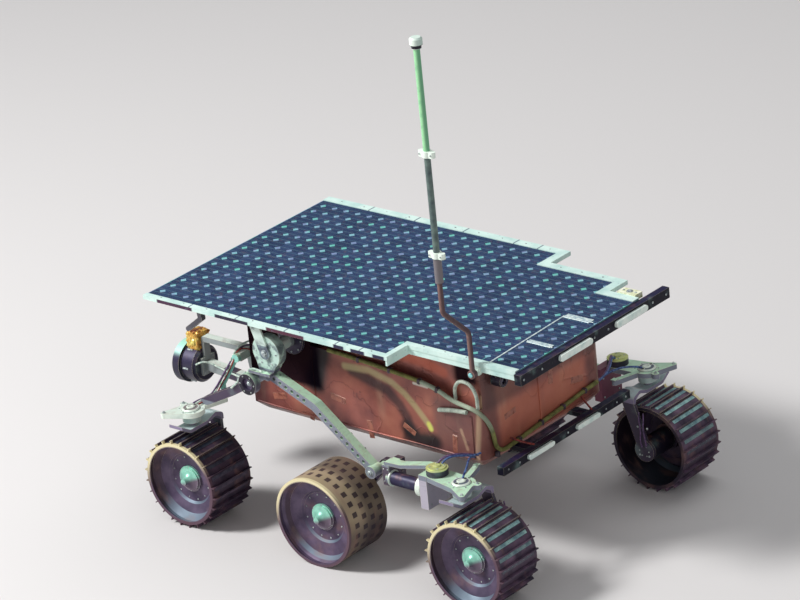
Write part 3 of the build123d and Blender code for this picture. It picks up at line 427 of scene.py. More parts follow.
def metal(name, top=MINT, side=GREY_SIDE, areas=(), metallic=0.2, wear=0.55, dust=0.25, specular=0.5):
    """A worn machined metal, painted lighter on faces that look up, as painted light. Each area is a box with
    a colour of its own, or painted light or shade.
    """
    look = Finish(name, metallic=metallic, specular=specular)
    patches, streaks = look.noise(38, 6), look.noise(420, 3, stretch=(0.25, 0.25, 1.0))
    upward = look.ease(look.faces("Z"), -0.1, 0.75)
    # painted light and shade: faces that look up take the top colour, the others the side colour
    look.colour = look.mix(upward, side, top)
    for low, high, shade in areas:
        look.paint(shade, box_mask(look, low, high))
    look.paint(MINT_SHADE, look.ease(patches, 0.52, 0.75), 0.35)
    look.paint(PLUM, look.ease(streaks, 0.55, 0.8), 0.22)
    look.paint(SETTLED_DUST, look.ease(look.noise(90, 5), 0.48, 0.7), upward, dust)
    look.paint(CREAM, look.edges(0.7), wear)
    look.bump(streaks, 0.03, 0.5)
    look.bump(look.noise(2400, 2), 0.02, 0.4)
    look.roughness(patches, 0.34, 0.58)
    return look


# %% Rockers and bogies
# An area is given by its lowest corner, its highest corner and its colour.
SHADED_PLATE = (66, 56, 76)
REAR_BOSS = (-125, 220)
look = metal("rocker_metal", areas=[
    # the main boss gets a painted highlight, mint-white
    ((-120, 165, 246), (-66, 186, 297), (190, 218, 206)),  # main boss
    ((-262, 165, 172), (-140, 190, 214), (74, 60, 84)),  # rear arm
    ((-262, 140, 156), (-202, 240, 164.4), BRIGHT),  # plate at its end
])
boss_face = look.between(look.off_middle(), 185.5 * MM, 200 * MM, 0.3 * MM)
look.paint(INK, disc_mask(look, REAR_BOSS, 15.2), boss_face)
look.paint((128, 112, 142), disc_mask(look, REAR_BOSS, 8.8), boss_face)
# painted shade in patches round the main pivot
look.paint((62, 62, 84), look.ease(look.noise(75, 4), 0.42, 0.56),
           box_mask(look, (-150, 165, 200), (-66, 192, 284), soft=3), 0.7)
rocker_metal = look.done()

END_BLOCK_LOW = (183.6, 160, 114)
look = metal("bogie_metal", areas=[
    ((-5, 140, 40), (112, 158.6, 150), SHADED_PLATE),
    ((95, 149, 116), (109, 185, 144), (92, 82, 98)),  # block behind the tube
    ((109, 160, 115), (183.5, 190, 139), (46, 42, 74)),  # tube
    ((156.4, 160, 110), (165.6, 194, 144), BRIGHT),  # clamp
    (END_BLOCK_LOW, (198, 214, 156.5), (184, 178, 192)),
])
# the left block looks plum, in the box's shade
look.paint((128, 70, 92), box_mask(look, END_BLOCK_LOW, (198, 214, 164.5)),
           look.ease(look.along("Y"), 0.0, 0.01))
bogie_metal = look.done()

# %% Yokes, housings, pivots and links
STEER_X, WHEEL_Y = {"front": 250.0, "rear": -230.0}, 202.5
yoke_metal = metal("yoke_metal", top=(196, 214, 214), side=(134, 122, 152), areas=[
    ((-300, 152, 40), (300, 159, 132), SHADED_PLATE),
]).done()

look = metal("housing_metal", top=BRIGHT, side=(170, 190, 186))
look.paint(PLUM, band(look, "Z", 162.8, 163.6, 0.1))
on_lid = look.ease(look.along("Z"), 166.0 * MM, 166.2 * MM)
for end, lid_shade in (("front", (46, 52, 92)), ("rear", (120, 98, 104))):
    look.paint(lid_shade, disc_mask(look, (STEER_X[end], WHEEL_Y), 10.2, axes="XY"), on_lid, 0.85)
housing_metal = look.done()

look = metal("pivot_metal", top=BRIGHT, side=(206, 226, 216), areas=[
    # the flange on the box is painted dark, as painted shade under the deck
    ((-120, 129, 246), (-66, 136, 296), (60, 50, 76)),  # flange on the box
    # the outboard fittings are painted darker, as painted shade
    ((-130, 183, 240), (-60, 190, 281), (120, 138, 146)),  # outboard fittings
])
# painted shade in patches on the lower part of the fittings
look.paint((58, 54, 78), look.ease(look.noise(70, 4), 0.46, 0.6),
           look.ease(look.along("Z"), 292 * MM, 280 * MM), 0.65)
pivot_metal = look.done()

bright_metal = metal("bright_metal", top=BRIGHT, side=(196, 216, 206)).done()
link_metal = metal("link_metal", side=(142, 214, 200)).done()
arm_metal = metal("sensor_arm_metal", top=BRIGHT, side=(150, 158, 160), areas=[
    ((-262, 76, 155), (-240, 104, 180), SHADED_PLATE),
]).done()
post_metal = metal("post_metal", top=MINT_SHADE, side=(96, 92, 104)).done()
belly_finish = metal("belly_finish", top=PLUM, side=(64, 52, 60), dust=0.5).done()

# %% [markdown]
# ## Motors and hub caps
# The drive motors sit in the wheels, in dark anodised cans. Each front steering motor lies beside
# its housing, and its flat lid shines yellow-green. Anodising is a thin hard layer that lets some of
# the metal's shine through, so the dark finish is half metallic, with fine turning lines, and paler
# where corners have rubbed bare. The hub caps are polished; their upper left gets a painted
# highlight and the rest painted shade.

# %% Motors
ANODISED, LID = (50, 44, 62), (214, 222, 150)
look = metal("anodised_can", top=ANODISED, side=(40, 34, 52), metallic=0.5, dust=0.4)
look.bump(look.noise(900, 1, stretch=(0.02, 1.0, 0.02)), 0.03, 0.4)
anodised = look.done()
steering_motor_metal = metal("steering_motor", top=(96, 88, 108), side=ANODISED, metallic=0.4, areas=[
    ((185, 175, 172.6), (225, 218, 177), LID),
]).done()


# %% Hub caps
def hub_metal(name, middle):
    """A polished cap: a painted mint highlight where it faces the light, above a slanting line, and painted
    shade below it.
    """
    look = Finish("hub_metal_" + name, metallic=0.3)
    patches = look.noise(60, 5)
    lit = look.ease(to_the_light(look, middle), -0.005, 0.003)
    look.colour = look.mix(lit, (116, 100, 118), (150, 216, 194))
    look.paint((110, 130, 140), look.ease(patches, 0.5, 0.7), 0.4)
    look.paint(BRIGHT, look.edges(0.6), 0.5)
    look.bump(look.noise(1500, 2), 0.02, 0.4)
    look.bump(patches, 0.3, 0.2)
    look.roughness(patches, 0.25, 0.45)
    return look.done()


# %% [markdown]
# ## The film round the box
# The equipment box is wrapped in a thin metallised film that looks coral and copper. Film like this
# never lies quite flat: it has broad soft folds and small sharp creases, and a painted sheen in
# streaks stands for its shine where it is pulled over an edge. The folds are a low noise and the
# creases are Voronoi cells, both used as bumps, so that the light breaks on them; thin lines of
# noise also paint shade into creases. The streaks and patches of the photo are masks: lines between
# points on the side, and boxes where the film is brown, or nearly black as painted shadow. Some of
# them are painted shade, light, sheen or highlights, as marked below.

# %% Where the film is streaked, and where light and shade are painted on it
CORAL, CORAL_LIT, CORAL_DEEP = (160, 92, 80), (190, 122, 100), (112, 60, 58)
BROWN_FILM, FILM_SHADOW, PAINTED_SHEEN = (66, 40, 46), (22, 16, 26), (206, 170, 140)
FILM_SHADES = [
    # lowest corner, highest corner, colour, its share
    ((-190, 110, 140), (-150, 140, 214), BROWN_FILM, 0.7),
    # painted shade along the lower edge of the sides
    ((-150, 110, 138), (150, 140, 151), (48, 32, 46), 0.6),
    ((150, 110, 138), (224, 140, 236), (92, 66, 70), 0.6),
    # painted shade at both ends of the front, where it turns from the light
    ((225, 96, 140), (240, 140, 300), BROWN_FILM, 0.6),
    # painted shadow of the deck and bar on the upper front
    ((225, -1, 226), (240, 140, 300), (48, 26, 34), 0.6),
    # painted light: a lit band across the middle of the lower front
    ((225, -1, 166), (240, 92, 220), (198, 112, 82), 0.5),
]
# painted shadow: areas under the deck and round the pivot
FILM_SHADOW_AREAS = [
    # lowest corner, highest corner
    ((-190, 110, 201), (-46, 140, 310)),
    ((-190, -1, 274), (88, 140, 310)),
    ((184, 116, 262), (224, 140, 300)),
]
STROKES = [
    # points along the side (x, z), width, colour, its share
    # painted shadow along its edge beside the pivot
    ([(-46, 284), (-40, 262), (-58, 214)], 24, FILM_SHADOW, 0.97),
    # painted light on the film just under the edge strip
    ([(96, 282), (130, 280), (166, 272)], 13, (186, 88, 60), 0.8),
    # painted shade along a bulge in the film
    ([(10, 244), (71, 228), (90, 212), (102, 194), (105, 174), (95, 154)], 13, (52, 32, 38), 0.8),
    ([(102, 178), (120, 165), (146, 168)], 20, (24, 16, 26), 0.95),
    # painted reflection: a pale diagonal band
    ([(-2, 248), (40, 251), (80, 242), (101, 230), (118, 215), (132, 200), (141, 190)], 8,
     (176, 158, 116), 0.85),
    ([(139, 193), (142, 187)], 6, (216, 216, 104), 0.95),
    # painted sheen along a fold near the front corner, and along a second line
    ([(228, 248), (217, 144)], 5, PAINTED_SHEEN, 0.75),
    ([(195, 197), (203, 171)], 4, PAINTED_SHEEN, 0.5),
    # painted highlights on two small bumps
    ([(119, 249), (142, 248)], 3, BRIGHT, 0.5),
]
print("film:", len(FILM_SHADES), "shades,", len(FILM_SHADOW_AREAS), "dark areas,", len(STROKES), "strokes")


# %% Copper film
def line_distance(look, start, end):
    """How far a point of the side is from a line, both seen along the rover's width."""
    flat = look.vector("MULTIPLY", look.place, (1, 0, 1))
    from_start = look.vector("SUBTRACT", flat, mm(start[0], 0, start[1]))
    run = mm(end[0] - start[0], 0, end[1] - start[1])
    share = look.sum("DIVIDE", look.vector("DOT_PRODUCT", from_start, run), run.length_squared)
    share = look.sum("MAXIMUM", look.sum("MINIMUM", share, 1.0), 0.0)
    nearest = look.node("CombineXYZ", look.times(share, run.x), 0.0, look.times(share, run.z)).outputs[0]
    return look.vector("LENGTH", look.vector("SUBTRACT", from_start, nearest))


def stroke(look, points, width):
    """Is 1 along a bent line on the side, and fades out to its width."""
    nearest = 1.0
    for start, end in zip(points, points[1:]):
        nearest = look.sum("MINIMUM", nearest, line_distance(look, start, end))
    return look.ease(nearest, width * MM, width * 0.25 * MM)


look = Finish("copper_film")
look.colour = look.steps(look.noise(15, 5), (0.3, CORAL_DEEP), (0.5, CORAL), (0.76, CORAL_LIT))
# painted sheen in soft streaks
look.paint(PAINTED_SHEEN, look.ease(look.noise(30, 4, stretch=(1.0, 1.0, 0.25)), 0.58, 0.74), 0.25)
fold_line = look.sum("ABSOLUTE", look.sum("SUBTRACT", look.noise(11, 5), 0.5))
# painted shade in thin crease lines
look.paint(BROWN_FILM, look.ease(fold_line, 0.007, 0.0), 0.4)
for low, high, shade, share in FILM_SHADES:
    look.paint(shade, box_mask(look, low, high, soft=8), share)
dark = 0.0
for low, high in FILM_SHADOW_AREAS:
    dark = look.sum("MAXIMUM", dark, box_mask(look, low, high, soft=7))
# painted shadow, nearly black, under the deck and round the pivot
look.paint(FILM_SHADOW, dark, 0.97)
right_side = look.ease(look.faces("Y"), -0.5, -0.8)
for points, width, shade, share in STROKES:
    look.paint(shade, stroke(look, points, width), right_side, share)
# the painted shadow does not shine
shine = look.sum("SUBTRACT", 1.0, dark)  # the dark film does not shine
look.feed(look.shader.inputs["Metallic"], look.times(shine, 0.25))
look.feed(look.shader.inputs["Specular IOR Level"], look.times(shine, 0.55))
look.bump(look.noise(14, 3), 5.0, 0.5)
look.bump(look.crumple(26), 1.2, 0.4)
look.bump(look.ease(fold_line, 0.02, 0.0), 0.8, 0.4)
look.bump(look.crumple(75), 0.3, 0.4)
look.roughness(look.noise(50, 4), 0.28, 0.5)
copper_film = look.done()

# %% [markdown]
# ## Solar deck
# The deck is a thin pale board covered with nearly square solar cells. A cell is cut from a round
# wafer, so its corners are clipped, and where four cells meet a small pale diamond of the board
# shows. That pattern of diamonds is what the eye reads from a distance. The cells are made below as
# real thin tiles, each with its own shade of navy and fine silver fingers, and the diamonds are
# simply the board between them. A painted pattern would be quicker but would have no edges.

# %% Board
BOARD = (126, 178, 188)
look = Finish("board_white", specular=0.2)
look.colour = look.steps(look.noise(62, 1), (0.36, (104, 182, 172)), (0.5, (132, 180, 194)),
                         (0.63, (120, 138, 174)))
# painted shade on faces of the board that do not look up
look.paint((58, 46, 56), look.ease(look.faces("Z"), 0.2, -0.2))
look.bump(look.noise(800, 3), 0.03, 0.4)
look.roughness(look.noise(60, 4), 0.5, 0.7)
board_white = look.done()

# %% Cell glass
PITCH_X, PITCH_Y = 21.6, 21.2
START_X, START_Y = -286.8, 167.1
FINGER_PITCH = 2.4
NAVY, NAVY_PALE = (18, 32, 70), (40, 56, 97)

look = Finish("cell_glass", specular=0.1)
from_start = look.vector("SUBTRACT", look.place, mm(START_X, START_Y, 0))
whole = look.vector("FLOOR", look.vector("DIVIDE", from_start, (PITCH_X * MM, PITCH_Y * MM, 1.0)))
own_shade = look.node("TexWhiteNoise", look.vector("MULTIPLY", whole, (1, 1, 0))).outputs["Value"]
clouds = look.noise(22, 5)
share = look.sum("ADD", look.times(own_shade, 0.5), look.times(clouds, 0.6))
look.colour = look.steps(share, (0.15, NAVY), (0.85, NAVY_PALE))
finger = look.sum("SINE", look.times(look.along("X"), 2 * pi / (FINGER_PITCH * MM)))
look.paint(BOARD, look.ease(finger, 0.86, 0.98), 0.35)
busbar = look.sum("SINE", look.times(look.along("Y"), 4 * pi / (PITCH_Y * MM)))
look.paint(BOARD, look.ease(busbar, 0.97, 0.995), 0.4)
look.paint(SETTLED_DUST, look.ease(look.noise(160, 6), 0.5, 0.75), 0.12)
look.bump(look.ease(finger, 0.8, 1.0), 0.03, 0.5)
look.roughness(clouds, 0.3, 0.45)
cell_glass = look.done()

# %% [markdown]
# The white edge strips have narrow dark gaps across them, and on their outer lip a row of dark and
# pale wraps. Both are bands along the strip. They have no height, so a band of colour is enough.

# %% White edge strips
EDGE_GAPS = [-215, -130, -42, 48, 90]
LIP_WRAPS = [
    # x from, x to, colour
    (-275, -210, (70, 40, 66)), (-168, -108, (42, 34, 58)), (-75, -8, (84, 44, 62)),
    (44, 62, (40, 38, 66)), (74, 98, (40, 38, 66)), (112, 132, (40, 38, 66)),
]
look = Finish("edge_white", specular=0.3)
patches = look.noise(40, 6)
look.colour = look.steps(patches, (0.3, (180, 214, 208)), (0.6, (212, 236, 228)))
for gap in EDGE_GAPS:
    look.paint((60, 70, 100), band(look, "X", gap - 1.2, gap + 1.2, 0.4), 0.75)
below_top = look.ease(look.along("Z"), 317.2 * MM, 316.6 * MM)
outermost = look.ease(look.off_middle(), 194.5 * MM, 195.5 * MM)
on_lip = look.times(below_top, outermost)
for wrap_from, wrap_to, shade in LIP_WRAPS:
    look.paint(shade, band(look, "X", wrap_from, wrap_to, 1.5), on_lip)
look.paint((120, 130, 150), look.ease(look.noise(260, 4), 0.62, 0.74), 0.4)
look.paint(CREAM, look.edges(0.5), 0.3)
look.bump(look.noise(600, 3), 0.05, 0.4)
look.roughness(patches, 0.45, 0.65)
edge_white = look.done()

# %% Dark bars and their pale blocks
look = metal("bar_black", top=(30, 28, 60), side=(13, 11, 28), metallic=0.0, wear=0.2, dust=0.1,
             specular=0.18)
look.paint((84, 62, 88), look.ease(look.noise(150, 4), 0.6, 0.72), 0.25)
bar_black = look.done()

look = Finish("block_white", specular=0.3)
patches = look.noise(80, 5)
look.colour = look.steps(patches, (0.3, (206, 228, 222)), (0.6, (240, 250, 242)))
look.paint(SETTLED_DUST, look.edges(0.6), 0.35)
look.bump(look.noise(500, 4), 0.06, 0.4)
look.roughness(patches, 0.4, 0.6)
block_white = look.done()

# %% [markdown]
# ## Mast and sensors
# The mast is a thin tube in two lengths. The bent lower one is brown, and the upper one is a pale
# green. Both get a painted highlight along their left side, towards the light, and the upper one
# gets painted shade on its lower part. Both are wrapped tubing, so the finish has rings of slightly
# different height along them, and the joints have white collars.


# %% Mast finishes
def tube_finish(name, dark, pale, rings=700):
    look = Finish(name, specular=0.4)
    patches = look.noise(120, 5)
    leftward = look.ease(look.sum("ADD", look.faces("X"), look.faces("Y")), 0.5, -0.9)
    # painted highlight: faces that look left, towards the light, take the pale colour
    look.colour = look.mix(leftward, dark, pale)
    look.paint(dark, look.ease(patches, 0.5, 0.7), 0.4)
    look.bump(look.noise(rings, 2, stretch=(0.02, 0.02, 1.0)), 0.15, 0.6)
    look.bump(patches, 0.1, 0.4)
    look.roughness(patches, 0.35, 0.6)
    return look


look = tube_finish("mast_brown_finish", (84, 62, 66), (128, 98, 92))
look.paint((118, 112, 116), band(look, "Z", 452, 487, 2))
mast_brown = look.done()

look = tube_finish("mast_green_finish", (112, 176, 134), (160, 222, 166), rings=500)
# painted shade, in patches, on the lower part of the upper mast
look.paint(look.steps(look.noise(90, 5), (0.3, (66, 80, 84)), (0.7, (112, 132, 124))),
           look.ease(look.along("Z"), 634 * MM, 626 * MM))
for low, high in ((486.5, 494.5), (624.5, 633.5)):
    look.paint(BRIGHT, band(look, "Z", low, high, 0.5))
mast_green = look.done()

look = tube_finish("mast_cap_finish", (196, 216, 206), BRIGHT)
look.paint(INK, band(look, "Z", 771.5, 776.5, 0.4))
mast_white = look.done()

# %% Sensor head and cameras
look = metal("sensor_dark", top=(60, 54, 84), side=(40, 36, 60), dust=0.2)
# painted highlight on the upper faces of the window's rim
upper_rim = look.sum("ADD", look.faces("Z"), look.times(look.faces("Y"), 0.6))
look.paint((176, 232, 214), look.ease(upper_rim, -0.1, 0.5),
           look.ease(look.along("X"), -326.2 * MM, -327.0 * MM))
sensor_dark = look.done()

camera_dark = metal("camera_dark", top=(70, 64, 88), side=(36, 30, 46), metallic=0.3,
                    dust=0.2).done()

look = Finish("corner_white", specular=0.3)
patches = look.noise(140, 5)
look.colour = look.steps(patches, (0.35, (204, 208, 158)), (0.62, (248, 250, 226)))
look.paint(SETTLED_DUST, look.edges(0.5), 0.4)
look.bump(look.noise(500, 4), 0.08, 0.5)
look.roughness(patches, 0.4, 0.6)
corner_white = look.done()

# %% [markdown]
# ## Cables
# Round cables are tied along the box, under a woven jacket. The jacket is yellow-green on the side,
# grey where it was wrapped again near the front corner, and green across the front. A woven sleeve
# is a fine diagonal pattern: two sine waves that cross, used as a bump. Modelled threads would look
# the same from here and cost millions of faces.

# %% Cable jackets
WEAVE_PITCH, RING_PITCH = 1.6, 2.2
look = Finish("woven_jacket", specular=0.25)
x, z = look.along("X"), look.along("Z")
level = look.sum("ADD", x, look.along("Y"))
one_way, other_way = (
    look.sum("SINE", look.times(look.sum(slant, level, z), 2 * pi / (WEAVE_PITCH * MM)))
    for slant in ("ADD", "SUBTRACT")
)
weave = look.sum("MAXIMUM", one_way, other_way)
patches = look.noise(110, 5)
look.colour = look.steps(patches, (0.3, (98, 98, 52)), (0.7, (150, 150, 88)))
look.paint((176, 190, 168), look.ease(x, 128 * MM, 140 * MM), look.ease(z, 196 * MM, 214 * MM))
look.paint((128, 134, 112), look.ease(x, 214 * MM, 224 * MM),
           look.ease(look.off_middle(), 112 * MM, 118 * MM), 0.6)
look.paint((70, 58, 40), look.ease(weave, 0.2, -0.6), 0.45)
look.bump(weave, 0.12, 0.7)
look.roughness(patches, 0.5, 0.75)
woven_jacket = look.done()

look = Finish("grey_jacket", specular=0.25)
patches = look.noise(140, 5)
look.colour = look.steps(patches, (0.3, (150, 164, 152)), (0.68, (206, 216, 200)))
slanting = look.sum("ADD", look.along("X"), look.along("Z"))
ring_wave = look.sum("SINE", look.times(slanting, 2 * pi / (RING_PITCH * MM)))
look.paint((96, 100, 100), look.ease(ring_wave, 0.3, 0.9), 0.35)
look.bump(ring_wave, 0.1, 0.5)
look.roughness(patches, 0.5, 0.7)
grey_jacket = look.done()

# %% [markdown]
# ## Dressing the CAD pieces
# A CAD piece keeps its shape and gets its finish through its material slot. One table pairs the
# start of a piece's name with the finish, and the script stops if a piece was forgotten. The wheels
# and hub caps come first, because each has a finish that is made for its own axle.

# %% Finishes on the CAD pieces
DRESSING = [
    # start of the name, finish; a longer start stands before a shorter one that it contains
    ("belly_plate", belly_finish), ("body_box", copper_film), ("bogie_", bogie_metal),
    ("bumper_blocks", block_white), ("bumper", bar_black), ("cameras", camera_dark),
    ("contact_bar", bar_black), ("contact_blocks", block_white), ("corner_sensor", corner_white),
    ("deck_posts", post_metal), ("differential_bar", bright_metal), ("differential_link", link_metal),
    ("drive_motor_", anodised), ("edge_cable", woven_jacket), ("front_cables", grey_jacket),
    ("mast_bracket", bright_metal), ("mast_lower", mast_brown), ("mast_upper", mast_green),
    ("mast_cap", mast_white), ("panel_border_", edge_white), ("panel_deck", board_white),
    ("panel_skirt", edge_white), ("rocker_pivot_", pivot_metal), ("rocker_", rocker_metal),
    ("sensor_arm", arm_metal), ("sensor_bracket", bright_metal), ("sensor_head", sensor_dark),
    ("sensor_foil", corner_white), ("steering_housing_", housing_metal),
    ("steering_motor_", steering_motor_metal), ("yoke_", yoke_metal),
]
SMOOTH_WHEEL = "middle_right"


def dress(node, finish):
    for slot in nodes[node].material_slots:
        slot.material = finish


for wheel_name, (middle, side, outer_y) in wheels.items():
    dress("wheel_" + wheel_name, wheel_metal(wheel_name, middle, outer_y, wheel_name == SMOOTH_WHEEL))
    dress("hub_cap_" + wheel_name, hub_metal(wheel_name, middle))
for node in sorted(nodes):
    if not node.startswith(("wheel_", "hub_cap_")):
        finish = next((finish for start, finish in DRESSING if node.startswith(start)), None)
        if finish is None:
            raise SystemExit("No finish for " + node)
        dress(node, finish)
print("dressed", len(nodes), "CAD pieces")

# %% [markdown]
# ## A kit for small pieces
# Screws, tiles, cleats and tapes come in dozens. Making one Blender object for each would be slow
# and hard to manage, so each kind is collected in one mesh. Real parts have no perfectly sharp
# edges, and the small bevels catch the light.

UP, DOWN, FORWARD, BACKWARD, RIGHTWARD = (0, 0, 1), (0, 0, -1), (1, 0, 0), (-1, 0, 0), (0, -1, 0)
BOTH = (-1, 1)  # the right side, where y is negative, and the left one


def ring(centre, axis, count, radius, start=0.0):
    """Points on a circle round an axis, evenly spaced from a start angle."""
    across = {"X": (1, 2), "Y": (0, 2), "Z": (0, 1)}[axis]
    points = [list(centre) for _ in range(count)]
    for i, point in enumerate(points):
        point[across[0]] += radius * cos(start + 2 * pi * i / count)
        point[across[1]] += radius * sin(start + 2 * pi * i / count)
    return points


def add_piece(name, data, finish, body):
    """Puts a mesh or a curve in the scene, as a piece that rides on a body."""
    data.materials.append(finish)
    piece = put_in_scene(name, data)
    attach(piece, body)
    return piece


class Making:
    """Collects shapes in one mesh, which becomes one piece. Lengths are in millimetres."""

    def __init__(self, name):
        self.name = name
        self.mesh = bmesh.new()

    def block(self, centre, size, turn=0.0, axis="Z", bevel=0.4, segments=1):
        """A box with bevelled edges, turned by some degrees about one of its axes."""
        verts = bmesh.ops.create_cube(self.mesh, size=1.0)["verts"]
        turned = Matrix.Rotation(radians(turn), 4, axis)
        place = Matrix.Translation(mm(*centre)) @ turned @ Matrix.Diagonal((*mm(*size), 1.0))
        bmesh.ops.transform(self.mesh, matrix=place, verts=verts)
        edges = list({edge for vert in verts for edge in vert.link_edges})
        bmesh.ops.bevel(self.mesh, geom=edges, offset=bevel * MM, segments=segments, profile=0.5,
                        affect="EDGES")

    def turned(self, profile, foot, direction, sides=12):
        """Spins a profile of radii and heights round an axis that starts at the foot."""
        turn = Vector(direction).to_track_quat("Z", "Y").to_matrix().to_4x4()
        place = Matrix.Translation(mm(*foot)) @ turn
        rings = []
        for radius, height in profile:
            points = ring((0, 0, height), "Z", sides if radius else 1, radius)
            rings.append([self.mesh.verts.new(place @ mm(*point)) for point in points])
        for lower, upper in zip(rings, rings[1:]):
            for i in range(sides):
                j = (i + 1) % sides
                loop = (lower[i % len(lower)], lower[j % len(lower)],
                        upper[j % len(upper)], upper[i % len(upper)])
                loop = list(dict.fromkeys(loop))
                if len(loop) > 2:
                    self.mesh.faces.new(loop)

    def screws(self, points, direction, radius):
        """Round screw heads, each with a sunk socket."""
        high = radius * 0.55
        profile = [(radius, -0.3), (radius, high * 0.7), (radius * 0.84, high), (radius * 0.5, high),
                   (radius * 0.45, high * 0.4), (0, high * 0.4)]
        for point in points:
            self.turned(profile, point, direction, sides=10)

    def nut(self, foot, direction, radius):
        """A six-sided nut on a washer, with the round end of its bolt."""
        r, bolt = radius, radius * 0.5
        self.turned([(r * 1.35, -0.3), (r * 1.35, 0.5), (r * 1.1, 0.6)], foot, direction, sides=14)
        self.turned([(r, 0.5), (r, 1.9), (r * 0.8, 2.4), (bolt, 2.4)], foot, direction, sides=6)
        self.turned([(bolt, 2.0), (bolt, 2.9), (r * 0.3, 3.2), (0, 3.2)], foot, direction, sides=8)

    def tile(self, outline, low, high):
        """A flat plate from an outline of x and y, between two heights."""
        bottom = [self.mesh.verts.new(mm(x, y, low)) for x, y in outline]
        top = [self.mesh.verts.new(mm(x, y, high)) for x, y in outline]
        self.mesh.faces.new(top)
        for i in range(len(outline)):
            j = (i + 1) % len(outline)
            self.mesh.faces.new((bottom[i], bottom[j], top[j], top[i]))

    def done(self, finish, slot, body, sharp=35):
        bmesh.ops.recalc_face_normals(self.mesh, faces=self.mesh.faces)
        data = bpy.data.meshes.new(self.name)
        self.mesh.to_mesh(data)
        self.mesh.free()
        data.polygons.foreach_set("use_smooth", [True] * len(data.polygons))
        data.set_sharp_from_angle(angle=radians(sharp))
        print(self.name, len(data.polygons), "faces")
        return add_piece(self.name, data, finish, body)


# %% [markdown]
# The small pieces need only a simple finish: two shades in patches, paler on worn edges. A metal
# one shines in part, a tape is smoother than a wire, and a hole is a dull, nearly black disc of painted
# shade.

# %% Finishes of the small pieces
def small_finish(name, dark, pale, metallic=0.0, scale=260, rough=(0.35, 0.6)):
    look = Finish(name, metallic=metallic)
    patches = look.noise(scale, 5)
    look.colour = look.steps(patches, (0.35, dark), (0.65, pale))
    look.paint(CREAM, look.edges(0.25), 0.4)
    look.bump(look.noise(scale * 6, 3), 0.03, 0.5)
    look.roughness(patches, *rough)
    return look.done()


lid_finish = small_finish("lid_finish", (170, 176, 112), (214, 222, 150))
steel = small_finish("screw_steel", (120, 128, 140), (214, 226, 224), metallic=0.5)
dark_steel = small_finish("dark_steel", (40, 34, 52), (92, 84, 104), metallic=0.4)
hole_shade = small_finish("hole_shade", (16, 12, 24), (34, 26, 40), rough=(0.7, 0.9))
silver_strip = small_finish("silver_strip", (170, 196, 206), (232, 244, 240), metallic=0.3)
amber_tape = small_finish("amber_tape", (126, 72, 62), (174, 108, 88), 0.1, scale=120, rough=(0.2, 0.4))
purple_wire = small_finish("purple_wire", (62, 44, 78), (120, 92, 134))
pale_wire = small_finish("pale_wire", (150, 178, 168), (228, 240, 226))
red_wire = small_finish("red_wire", (96, 36, 40), (176, 78, 66))
blue_wire = small_finish("blue_wire", (34, 48, 104), (96, 126, 178))
tie_dark = small_finish("tie_dark", (40, 32, 40), (84, 72, 84))
pin_cyan = small_finish("pin_cyan", (90, 170, 180), (168, 236, 232), metallic=0.3)

# %% [markdown]
# ## The solar cells
# Every cell is an octagon: a rectangle with its corners clipped. The grid runs over the stepped
# deck, and a cell that would pass under an edge strip is cut along it. The cutting clips a polygon
# against the sides of a rectangle one by one, which is all a stepped deck needs.

# %% Cell tiles
CELL_GAP, CELL_CLIP = 0.45, 4.9
SMALLEST_CELL = 10.0  # in square millimetres: a smaller scrap of a cell is left out
DECK_TOP, CELL_TOP = 317.0, 317.28
COLUMNS, ROWS = range(-1, 29), range(-18, 2)
DECK_AREAS = [
    # x from, y from, x to, y to, inside the edge strips
    (-299.5, -188.2, 123.4, 183.2), (123.4, -188.2, 128.2, -144.5),
    (123.4, -144.5, 254.4, 139.2), (254.4, -144.5, 316.2, 99.2),
]


def clipped(outline, area):
    """Cuts an outline at the four sides of an area."""
    x_from, y_from, x_to, y_to = area
    for axis, limit, sign in ((0, x_from, 1), (0, x_to, -1), (1, y_from, 1), (1, y_to, -1)):
        kept = []
        for i, point in enumerate(outline):
            before = outline[i - 1]
            inside, was_inside = (sign * (p[axis] - limit) >= 0 for p in (point, before))
            if inside != was_inside:
                share = (limit - before[axis]) / (point[axis] - before[axis])
                kept.append(tuple(b + (p - b) * share for b, p in zip(before, point)))
            if inside:
                kept.append(point)
        outline = kept
    return outline


def size_of(outline):
    return abs(sum(a[0] * b[1] - b[0] * a[1] for a, b in zip(outline, outline[1:] + outline[:1]))) / 2


cells = Making("solar_cell_tiles")
for column in COLUMNS:
    for row in ROWS:
        x0, y0 = START_X + PITCH_X * column + CELL_GAP / 2, START_Y + PITCH_Y * row + CELL_GAP / 2
        x1, y1 = x0 + PITCH_X - CELL_GAP, y0 + PITCH_Y - CELL_GAP
        clip = CELL_CLIP
        octagon = [(x0 + clip, y0), (x1 - clip, y0), (x1, y0 + clip), (x1, y1 - clip),
                   (x1 - clip, y1), (x0 + clip, y1), (x0, y1 - clip), (x0, y0 + clip)]
        for area in DECK_AREAS:
            outline = clipped(octagon, area)
            if len(outline) > 2 and size_of(outline) > SMALLEST_CELL:
                cells.tile(outline, DECK_TOP, CELL_TOP)
cells.done(cell_glass, "solar_cells", "root", sharp=30)

